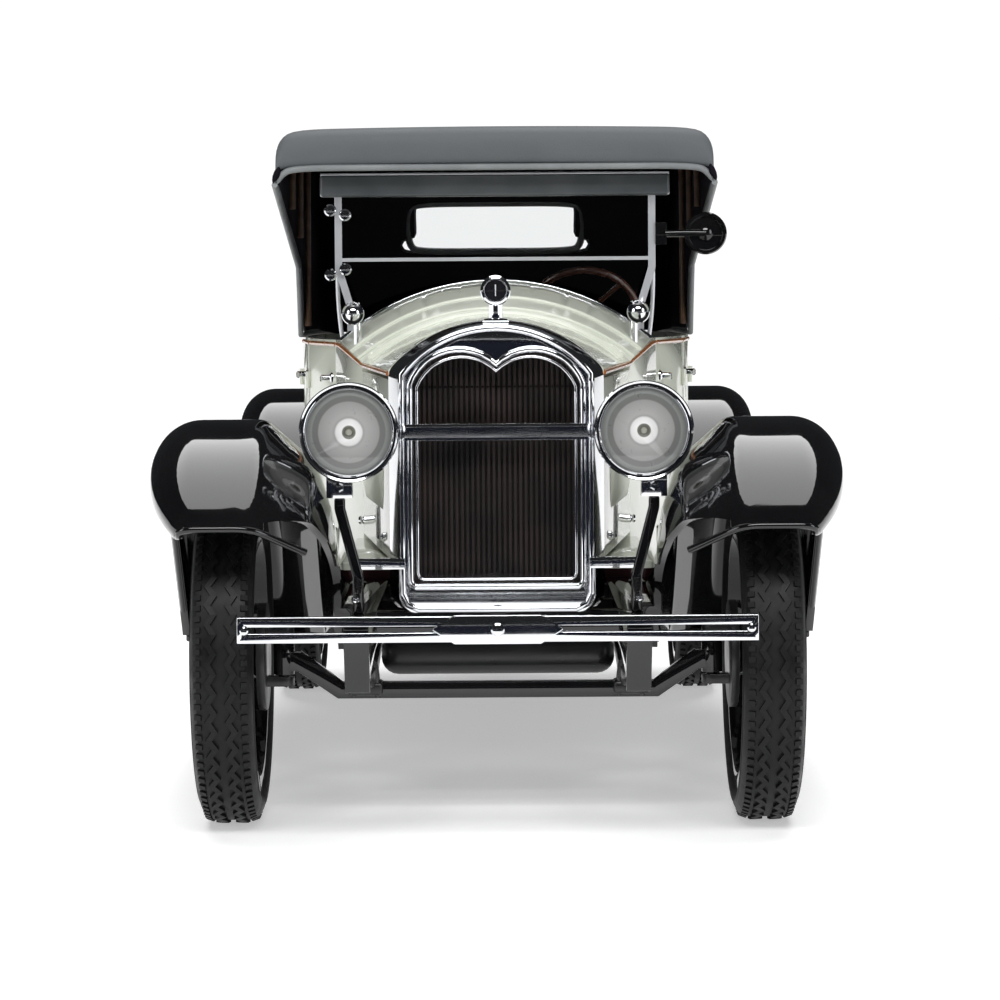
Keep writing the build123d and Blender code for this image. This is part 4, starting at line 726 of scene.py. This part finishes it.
def bonnet_section(back):
    """The bonnet's half width, shoulder height and crest height at a station."""
    share = (back - BONNET_FROM) / BONNET_LENGTH
    return [start + growth * share for start, growth in BONNET_GROWTH]


for place, side in SIDES:
    for number, back in enumerate((46.0, 50.5, 55.0)):
        half, shoulder, crest = bonnet_section(back)
        run = arc((side * half, shoulder), (0.0, crest), (-side * half, shoulder), 41)[1:20]
        rod(f"bonnet_bead_{number}_{place}", [station(x, back, z) for x, z in run], 0.32, ivory_paint,
            place + "_bonnet_top", smooth=False)
    bpy.ops.object.select_all(action="DESELECT")
    bpy.ops.mesh.primitive_uv_sphere_add(
        segments=10, ring_count=10, radius=1.0, scale=(0.75 * mm, 0.62 * mm, 7.0 * mm),
        location=[value * mm for value in station(side * 17.55, 16.0, 52.5)])
    louvre = bpy.context.active_object
    louvre.name = "bonnet_louvres_" + place
    bpy.ops.object.transform_apply(location=True, rotation=True, scale=True)
    repeated(louvre, 14, (side * 0.2784, 2.5, 0.0))
    placed(louvre, ivory_paint, place + "_bonnet_side")
    for number, back in enumerate((12.0, 52.0)):
        turned(f"bonnet_catch_{number}_{place}",
               ((0.7, -0.2), (0.7, 0.3), (0.45, 0.6), (0.7, 0.9), (0.5, 1.2), (0, 1.25)),
               station(side * bonnet_section(back)[0], back, 41.6), place, chrome, place + "_bonnet_side",
               segments=16)

# The headlamps: plated drum lamps with a turned rim, a black seal and a bright bezel round a ribbed frosted
# lens that carries painted reflections of the reflector and the bulb, on black stays with plated clamps, and
# a plated bar between them.
LAMP_X, LAMP_Z, LENS_RADIUS = 21.6, 58.4, 6.3


def lens_with_painted_reflections():
    """Frosted lens glass whose rings of tone are painted reflections of the reflector bowl and the bulb, set
    by distance from the lamp's middle.
    """
    material = plain_material("lens_with_painted_reflections", "clear", Coat_Weight=0.9, Coat_Roughness=0.04)
    tree = material.node_tree
    skin = tree.nodes["Principled BSDF"]
    where = tree.nodes.new("ShaderNodeTexCoord")
    parts = tree.nodes.new("ShaderNodeSeparateXYZ")
    across = maths(tree, "ABSOLUTE")
    from_lamp = maths(tree, "SUBTRACT", LAMP_X * mm)
    above = maths(tree, "SUBTRACT", LAMP_Z * mm)
    flat = tree.nodes.new("ShaderNodeCombineXYZ")
    length = tree.nodes.new("ShaderNodeVectorMath")
    length.operation = "LENGTH"
    share = maths(tree, "DIVIDE", LENS_RADIUS * mm)
    painted_reflection_tones = tree.nodes.new("ShaderNodeValToRGB")
    ramp = painted_reflection_tones.color_ramp.elements
    ramp[0].position = 0.0
    ramp[0].color = (0.30, 0.30, 0.26, 1.0)
    ramp[1].position = 1.0
    ramp[1].color = (0.12, 0.125, 0.12, 1.0)
    # Painted reflections: the bright ring from 0.17 to 0.30 is the bulb's reflection, and the darker and
    # lighter bands round it are the reflector bowl's; the lens itself lets no light through
    for place, tone in ((0.065, (0.28, 0.28, 0.24)), (0.09, (0.10, 0.105, 0.08)),
                        (0.15, (0.14, 0.14, 0.12)), (0.17, (0.72, 0.72, 0.71)),
                        (0.30, (0.62, 0.62, 0.61)), (0.34, (0.28, 0.28, 0.275)),
                        (0.40, (0.33, 0.325, 0.32)), (0.70, (0.25, 0.25, 0.245)),
                        (0.73, (0.13, 0.13, 0.125)), (0.84, (0.125, 0.13, 0.125)),
                        (0.87, (0.19, 0.20, 0.19))):
        ramp.new(place).color = (*tone, 1.0)
    ripple = tree.nodes.new("ShaderNodeTexNoise")
    preset(ripple, Scale=900.0)
    bump = tree.nodes.new("ShaderNodeBump")
    preset(bump, Strength=0.25, Distance=0.00003)
    gloss = tree.nodes.new("ShaderNodeMapRange")
    preset(gloss, To_Min=0.22, To_Max=0.4)
    linked(
        tree,
        (where.outputs["Object"], parts.inputs[0]),
        (where.outputs["Object"], ripple.inputs["Vector"]),
        (parts.outputs["X"], across.inputs[0]),
        (across.outputs[0], from_lamp.inputs[0]),
        (parts.outputs["Z"], above.inputs[0]),
        (from_lamp.outputs[0], flat.inputs["X"]),
        (above.outputs[0], flat.inputs["Y"]),
        (flat.outputs[0], length.inputs[0]),
        (length.outputs["Value"], share.inputs[0]),
        (share.outputs[0], painted_reflection_tones.inputs["Fac"]),
        (painted_reflection_tones.outputs["Color"], skin.inputs["Base Color"]),
        (ripple.outputs["Fac"], gloss.inputs["Value"]),
        (gloss.outputs["Result"], skin.inputs["Roughness"]),
        (ripple.outputs["Fac"], bump.inputs["Height"]),
        (bump.outputs["Normal"], skin.inputs["Normal"]),
    )
    return material


reflection_painted_lens = lens_with_painted_reflections()
eased("headlamps", chrome, edge=0.0003, segments=3)
# The lens and the boss in its middle carry the painted reflections of the reflector and the bulb
eased("headlamp_lenses", reflection_painted_lens, edge=0.0001)
eased("headlamp_mounts", chrome, edge=0.0003, segments=3)
eased("headlamp_stays", gloss_black, edge=0.0004, segments=4)
for place, side in SIDES:
    at = (side * LAMP_X, -97.3, LAMP_Z)
    for name, rings, material in (
        ("lamp_rim_", ((6.85, -0.2), (7.2, -0.3), (7.35, 0.1), (7.2, 0.5), (6.95, 0.4)), chrome),
        ("lamp_seal_", ((6.6, -0.1), (6.95, -0.1), (6.9, 0.16), (6.65, 0.16)), dial_black),
        ("lamp_bezel_", ((6.1, -0.55), (6.62, -0.1), (6.6, 0.35), (6.42, 0.5), (6.2, 0.2)), chrome),
    ):
        turned(name + place, rings, at, "front", material, segments=64, ring=True)
    turned("lens_boss_" + place,
           ((2.05, -0.65), (1.95, -0.3), (1.0, -0.15), (0.55, 0.0), (0.4, 0.3), (0, 0.4)), at, "front",
           reflection_painted_lens, segments=32)
    for number, (x, z) in enumerate(((23.2, 50.2), (20.9, 33.6))):
        turned(f"stay_bolt_{number}_{place}", ((0.75, -0.1), (0.75, 0.35), (0.5, 0.55), (0, 0.6)),
               (side * x, -94.4, z), "front", chrome, segments=6, smooth=20.0)

# The bumper: two plated spring blades joined at their ends and clamped in the middle with a bolt.
eased("front_bumper", chrome, edge=0.00055, segments=4)
BUMPER_HEIGHT = 32.0
turned("bumper_bolt", ((0.95, -0.1), (0.95, 0.3), (0.7, 0.65), (0, 0.8)), (0, -125.0, BUMPER_HEIGHT),
       "front", chrome, segments=24)
for place, side in SIDES:
    turned("bumper_end_bolt_" + place, ((0.6, -0.1), (0.6, 0.25), (0.4, 0.45), (0, 0.5)),
           (side * 35.2, -124.3, BUMPER_HEIGHT), "front", chrome, segments=20)

# The windscreen: a plated frame in two halves with a painted visor rail along the top, clear panes,
# four clamp knobs on the right post, and a brace down to the cowl behind each post.
clear_glass = plain_material("clear_glass", "clear", Base_Color=(0.97, 0.98, 0.98, 1.0), Roughness=0.0,
                             Transmission_Weight=1.0, IOR=1.46)
screen_metal = finish("screen_metal", "screen_metal", (0.66, 0.67, 0.70), (0.58, 0.59, 0.62), 0.16, 0.28,
                      metallic=0.45)
visor_grey = finish("visor_grey", "black_gloss", (0.040, 0.045, 0.048), (0.055, 0.060, 0.064),
                    0.32, 0.45, coat=0.3)
eased("windscreen_frame", screen_metal, edge=0.0003, segments=3)
eased("windscreen_glass", clear_glass, edge=0.0)
block("windscreen_visor", (-29.6, -19.4, 95.2), (29.6, -16.0, 98.9), 0.5, visor_grey, segments=4)
rod("visor_top_strip", [(-29.5, -18.9, 98.95), (29.5, -18.9, 98.95)], 0.28, screen_metal, smooth=False)
for number, (x, z) in enumerate(((27.9, 82.1), (25.4, 83.0), (27.9, 93.0), (25.4, 92.2))):
    turned(f"screen_knob_{number}_right",
           ((0.45, -0.2), (0.5, 0.3), (1.0, 0.4), (1.05, 0.8), (0.8, 1.1), (0, 1.15)), (-x, -17.6, z),
           "front", chrome, segments=20)
    rod(f"knob_pin_{number}_right", [(-26.6, -17.2, z), (-x, -17.5, z)], 0.35, chrome, smooth=False)
for place, side in SIDES:
    brace = [(side * x, y, z) for x, y, z in ((26.8, -16.6, 82.4), (27.0, -14.0, 76.6), (26.3, -11.8, 71.2))]
    rod("screen_brace_" + place, brace, 0.36, screen_metal)

# The cowl lamps: small plated ball lamps on stems beside the windscreen feet, each with a turned
# rim and a dark lens.
eased("cowl_lamps", chrome, edge=0.0001)
for place, side in SIDES:
    at = (side * 24.1, -20.2, 75.5)
    turned("cowl_lamp_rim_" + place, ((1.45, 1.1), (1.85, 0.9), (1.95, 1.2), (1.8, 1.55), (1.5, 1.5)), at,
           "front", chrome, segments=32, ring=True)
    turned("cowl_lamp_lens_" + place, ((1.55, 1.15), (1.4, 1.4), (0.8, 1.6), (0, 1.7)), at, "front",
           dial_black, segments=32)

# The steering: a black column with a moulded brown wheel on four spokes and a plated centre nut.
rim_brown = finish("rim_brown", "wheel_brown", (0.060, 0.022, 0.012), (0.036, 0.013, 0.008),
                   0.22, 0.32, coat=0.4)
eased("steering_column", satin_black, edge=0.0001)
eased("steering_wheel", rim_brown, edge=0.0001)
COLUMN_RISE = math.radians(35.0)
nut = turned("steering_nut", ((0.9, 0.5), (0.9, 1.1), (0.6, 1.4), (0, 1.45)), (0, 0, 0), "up", chrome,
             "steering", segments=24)
nut.rotation_euler = (-(math.pi / 2 - COLUMN_RISE), 0.0, 0.0)
nut.location = (15.5 * mm, 5.0 * mm, 75.0 * mm)
alone(nut)
bpy.ops.object.transform_apply(location=True, rotation=True, scale=True)

# The mirror: a round black drum with a raised rim on an arm clamped to the left post, and its
# silvered glass at the back.
eased("mirror", gloss_black, edge=0.0003, segments=3)
MIRROR = (35.7, -18.0, 88.7)
turned("mirror_rim", ((2.75, 0.0), (3.5, -0.2), (3.6, 0.2), (3.4, 0.6), (3.1, 0.6), (2.85, 0.3)),
       MIRROR, "front", gloss_black, segments=48, ring=True)
turned("mirror_boss", ((1.3, -0.1), (1.2, 0.4), (0.8, 0.7), (0, 0.8)), MIRROR, "front", gloss_black,
       segments=32)
turned("mirror_glass", ((3.2, -0.1), (3.1, 0.12), (1.6, 0.16), (0, 0.17)), (35.7, -16.0, 88.7), "back",
       chrome, segments=48)
rod("mirror_arm", [(28.9, -18.2, 88.7), (32.0, -18.5, 88.8), (35.7, -18.5, 88.7)], 0.6, gloss_black)

# The top: one sheet of rubber-coated cloth stretched over wooden bows, turned down over the front
# bow, with a curtain round the back. The edges are bound, and a small clear window is sewn in.
top_cloth = finish("top_cloth", "top_cloth", (0.078, 0.086, 0.092), (0.095, 0.103, 0.110), 0.55, 0.72,
                   cloud_size=55.0, grain_size=4200.0, relief=0.00007, strength=0.45)
top_lining = finish("top_lining", "top_cloth", (0.005, 0.004, 0.007), (0.008, 0.006, 0.010), 0.8, 0.9,
                    grain_size=4200.0, relief=0.00006, strength=0.4, specular=0.1)
top_binding = finish("top_binding", "top_cloth", (0.21, 0.22, 0.225), (0.17, 0.18, 0.185), 0.5, 0.65,
                     grain_size=4200.0, relief=0.00006, strength=0.4)
bow_wood = finish("bow_wood", "wheel_brown", (0.10, 0.05, 0.022), (0.06, 0.028, 0.012), 0.4, 0.55,
                  cloud_size=400.0)
# Rows from the front hem over the top and down to the back hem: (station, height of the middle)
TOP_ROWS = [
    (66.9, 100.0), (66.3, 101.0), (66.1, 102.6), (66.2, 104.4), (67.0, 105.9), (68.8, 106.6),
    (72.0, 106.7), (76.0, 106.6), (80.0, 106.3), (84.0, 106.3), (88.0, 106.6), (91.0, 106.8),
    (95.0, 106.5), (100.0, 106.2), (106.0, 106.3), (111.0, 106.6), (114.0, 106.8), (118.0, 106.5),
    (123.0, 106.2), (128.0, 106.3), (132.0, 106.5), (135.0, 106.7), (138.0, 106.8), (144.0, 106.4),
    (150.0, 106.2), (156.0, 106.4), (162.0, 106.7), (166.0, 106.7), (171.0, 105.7), (176.0, 104.6),
    (181.0, 103.6), (185.0, 102.8), (187.8, 102.0), (189.6, 100.7), (190.7, 99.0), (191.2, 97.4),
    (191.9, 95.4), (192.8, 92.7), (193.7, 90.0), (194.4, 88.0), (195.6, 84.0), (196.9, 80.0),
    (198.1, 76.0), (198.9, 73.2), (199.5, 71.3)]
ROOF_SHARES = (0.93, 0.82, 0.70, 0.59, 0.49, 0.33, 0.16)
ROOF_ACROSS = (*(-share for share in ROOF_SHARES), 0.0, *reversed(ROOF_SHARES))
HALF_WIDTH, TAPER_FROM, BACK_TAPER, BACK_BEND, HOLLOW = 36.9, 190.5, 7.0, 9.6, 0.35
ROOF_BEND, BEND_SHARE, LEAST_DROP = 4.0, 0.75, 0.3
HEM_FROM, HEM_HEIGHT, HEM_FALL, HEM_RUN = 66.0, 97.2, 13.4, 67.0
CURTAIN_FROM, CURTAIN_HEIGHT, CURTAIN_DROP, CURTAIN_RUN = 133.0, 83.8, 12.5, 4.5
WINDOW_FROM, WINDOW_HALF, WINDOW_LOW, WINDOW_HIGH = 101.5, 17.6, 88.0, 97.4
CLOTH_THICKNESS = 0.7


def top_hem(back):
    """Height of the sheet's lower edge at a station."""
    if back < CURTAIN_FROM:
        return HEM_HEIGHT - HEM_FALL * (back - HEM_FROM) / HEM_RUN
    return CURTAIN_HEIGHT - CURTAIN_DROP * min(1.0, (back - CURTAIN_FROM) / CURTAIN_RUN)


corners, quads, hem_run = [], [], {-1: [], 1: []}
for back, ridge in TOP_ROWS:
    drawn_in = max(0.0, back - TAPER_FROM)
    half = HALF_WIDTH - BACK_TAPER * (1 - math.sqrt(max(0.0, 1 - (drawn_in / BACK_BEND) ** 2)))
    hem = min(top_hem(back), ridge - LEAST_DROP)
    bend = min(ROOF_BEND, BEND_SHARE * (ridge - hem))
    side_rise = [hem + (ridge - bend - hem) * step / 6 for step in range(6)]
    turn_over = [(half - bend + bend * math.cos(turn), ridge - bend + bend * math.sin(turn))
                 for turn in map(math.radians, (0, 22, 45, 68))]
    left_side = [(half - HOLLOW * math.sin(math.pi * step / 6), z) for step, z in enumerate(side_rise)]
    left_side += turn_over
    roof = [(-share * (half - bend), ridge + HOLLOW * (1 - share**2)) for share in ROOF_ACROSS]
    section = left_side + roof + [(-x, z) for x, z in reversed(left_side)]
    corners += [tuple(value * mm for value in station(x, back, z)) for x, z in section]
    for side in (1, -1):
        hem_run[side].append(station(side * (half + 0.1), back, hem))
width = len(section)
for row in range(len(TOP_ROWS) - 1):
    for column in range(width - 1):
        first = row * width + column
        quad = (first, first + 1, first + width + 1, first + width)
        x, y, z = (sum(corners[i][axis] for i in quad) / 4 / mm for axis in range(3))
        if not (y > WINDOW_FROM and abs(x) < WINDOW_HALF and WINDOW_LOW < z < WINDOW_HIGH):
            quads.append(quad)
top_mesh = bpy.data.meshes.new("soft_top_sheet")
top_mesh.from_pydata(corners, [], quads)
top_sheet = bpy.data.objects.new("soft_top_sheet", top_mesh)
scene.collection.objects.link(top_sheet)
alone(top_sheet)
bpy.ops.object.mode_set(mode="EDIT")
bpy.ops.mesh.select_all(action="SELECT")
bpy.ops.mesh.normals_make_consistent(inside=False)
bpy.ops.object.mode_set(mode="OBJECT")
top_mesh.materials.append(top_cloth)
top_mesh.materials.append(top_lining)
highest = max(top_mesh.polygons, key=lambda face: face.center.z)
if highest.normal.z < 0:
    top_mesh.flip_normals()
wall = top_sheet.modifiers.new("cloth_thickness", "SOLIDIFY")
wall.thickness = CLOTH_THICKNESS * mm
wall.offset = -1.0
wall.material_offset = 1
soften = top_sheet.modifiers.new("softened", "SUBSURF")
soften.levels = 1
soften.render_levels = 1
for step in (wall, soften):
    bpy.ops.object.modifier_apply(modifier=step.name)
bpy.ops.object.shade_smooth_by_angle(angle=math.radians(50.0))
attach(top_sheet, "car")
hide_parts("soft_top")
front_hem = [station(x, 66.6, 100.0) for x in (-20.0, 0.0, 20.0)]
right_corner, left_corner = (
    [station(side * x, back, z) for x, back, z in
     ((33.5, 66.6, 100.0), (36.0, 66.7, 99.0), (37.0, 67.0, 97.2))] for side in (-1, 1))
bindings = [rod("front_binding", [*reversed(right_corner), *front_hem, *left_corner], 0.55, top_binding)]
for place, side in SIDES:
    bindings.append(rod("side_binding_" + place, hem_run[side][3:], 0.5, top_binding, smooth=False))
window_frame = [station(x, back, z) for x, back, z in (
    (-15.5, 191.3, 97.6), (0.0, 191.3, 97.6), (15.5, 191.3, 97.6), (17.6, 191.6, 96.6),
    (18.0, 192.8, 92.7), (17.6, 194.1, 88.8), (15.5, 194.4, 87.8), (0.0, 194.4, 87.8),
    (-15.5, 194.4, 87.8), (-17.6, 194.1, 88.8), (-18.0, 192.8, 92.7), (-17.6, 191.6, 96.6))]
bindings.append(rod("window_binding", window_frame, 0.75, top_binding, closed=True))
eased("rear_window", clear_glass, edge=0.0)
for number, (back, foot) in enumerate(((91.0, 93.8), (114.0, 89.2), (138.0, 73.0))):
    bow = [station(x, back, z) for x, z in (
        (-35.6, foot), (-35.6, 100.0), (-35.2, 104.6), (-31.0, 105.2), (0.0, 105.5),
        (31.0, 105.2), (35.2, 104.6), (35.6, 100.0), (35.6, foot))]
    rod(f"top_bow_{number}", bow, 0.65, bow_wood)

# The tail lamp: a black drum lamp with a plated rim and a red lens on a short stem behind the left
# fender.
red_glass = finish("red_glass", "maroon", (0.30, 0.004, 0.004), (0.22, 0.003, 0.003), 0.08, 0.14, coat=1.0)
TAIL_LAMP = (41.0, 115.4, 46.6)
turned("tail_lamp", ((0.9, -2.2), (1.9, -1.4), (2.1, 0.8), (2.0, 1.1), (1.7, 1.1)), TAIL_LAMP, "back",
       gloss_black, segments=32)
turned("tail_lamp_rim", ((1.6, 1.0), (2.15, 0.9), (2.2, 1.2), (2.0, 1.4), (1.7, 1.3)), TAIL_LAMP, "back",
       chrome, segments=32, ring=True)
turned("tail_lamp_lens", ((1.75, 1.1), (1.5, 1.4), (0.8, 1.65), (0, 1.7)), TAIL_LAMP, "back", red_glass,
       segments=32)
rod("tail_lamp_stem", [(41.0, 113.0, 42.0), (41.0, 114.6, 43.6), (41.0, 115.0, 46.0)], 0.6, gloss_black)
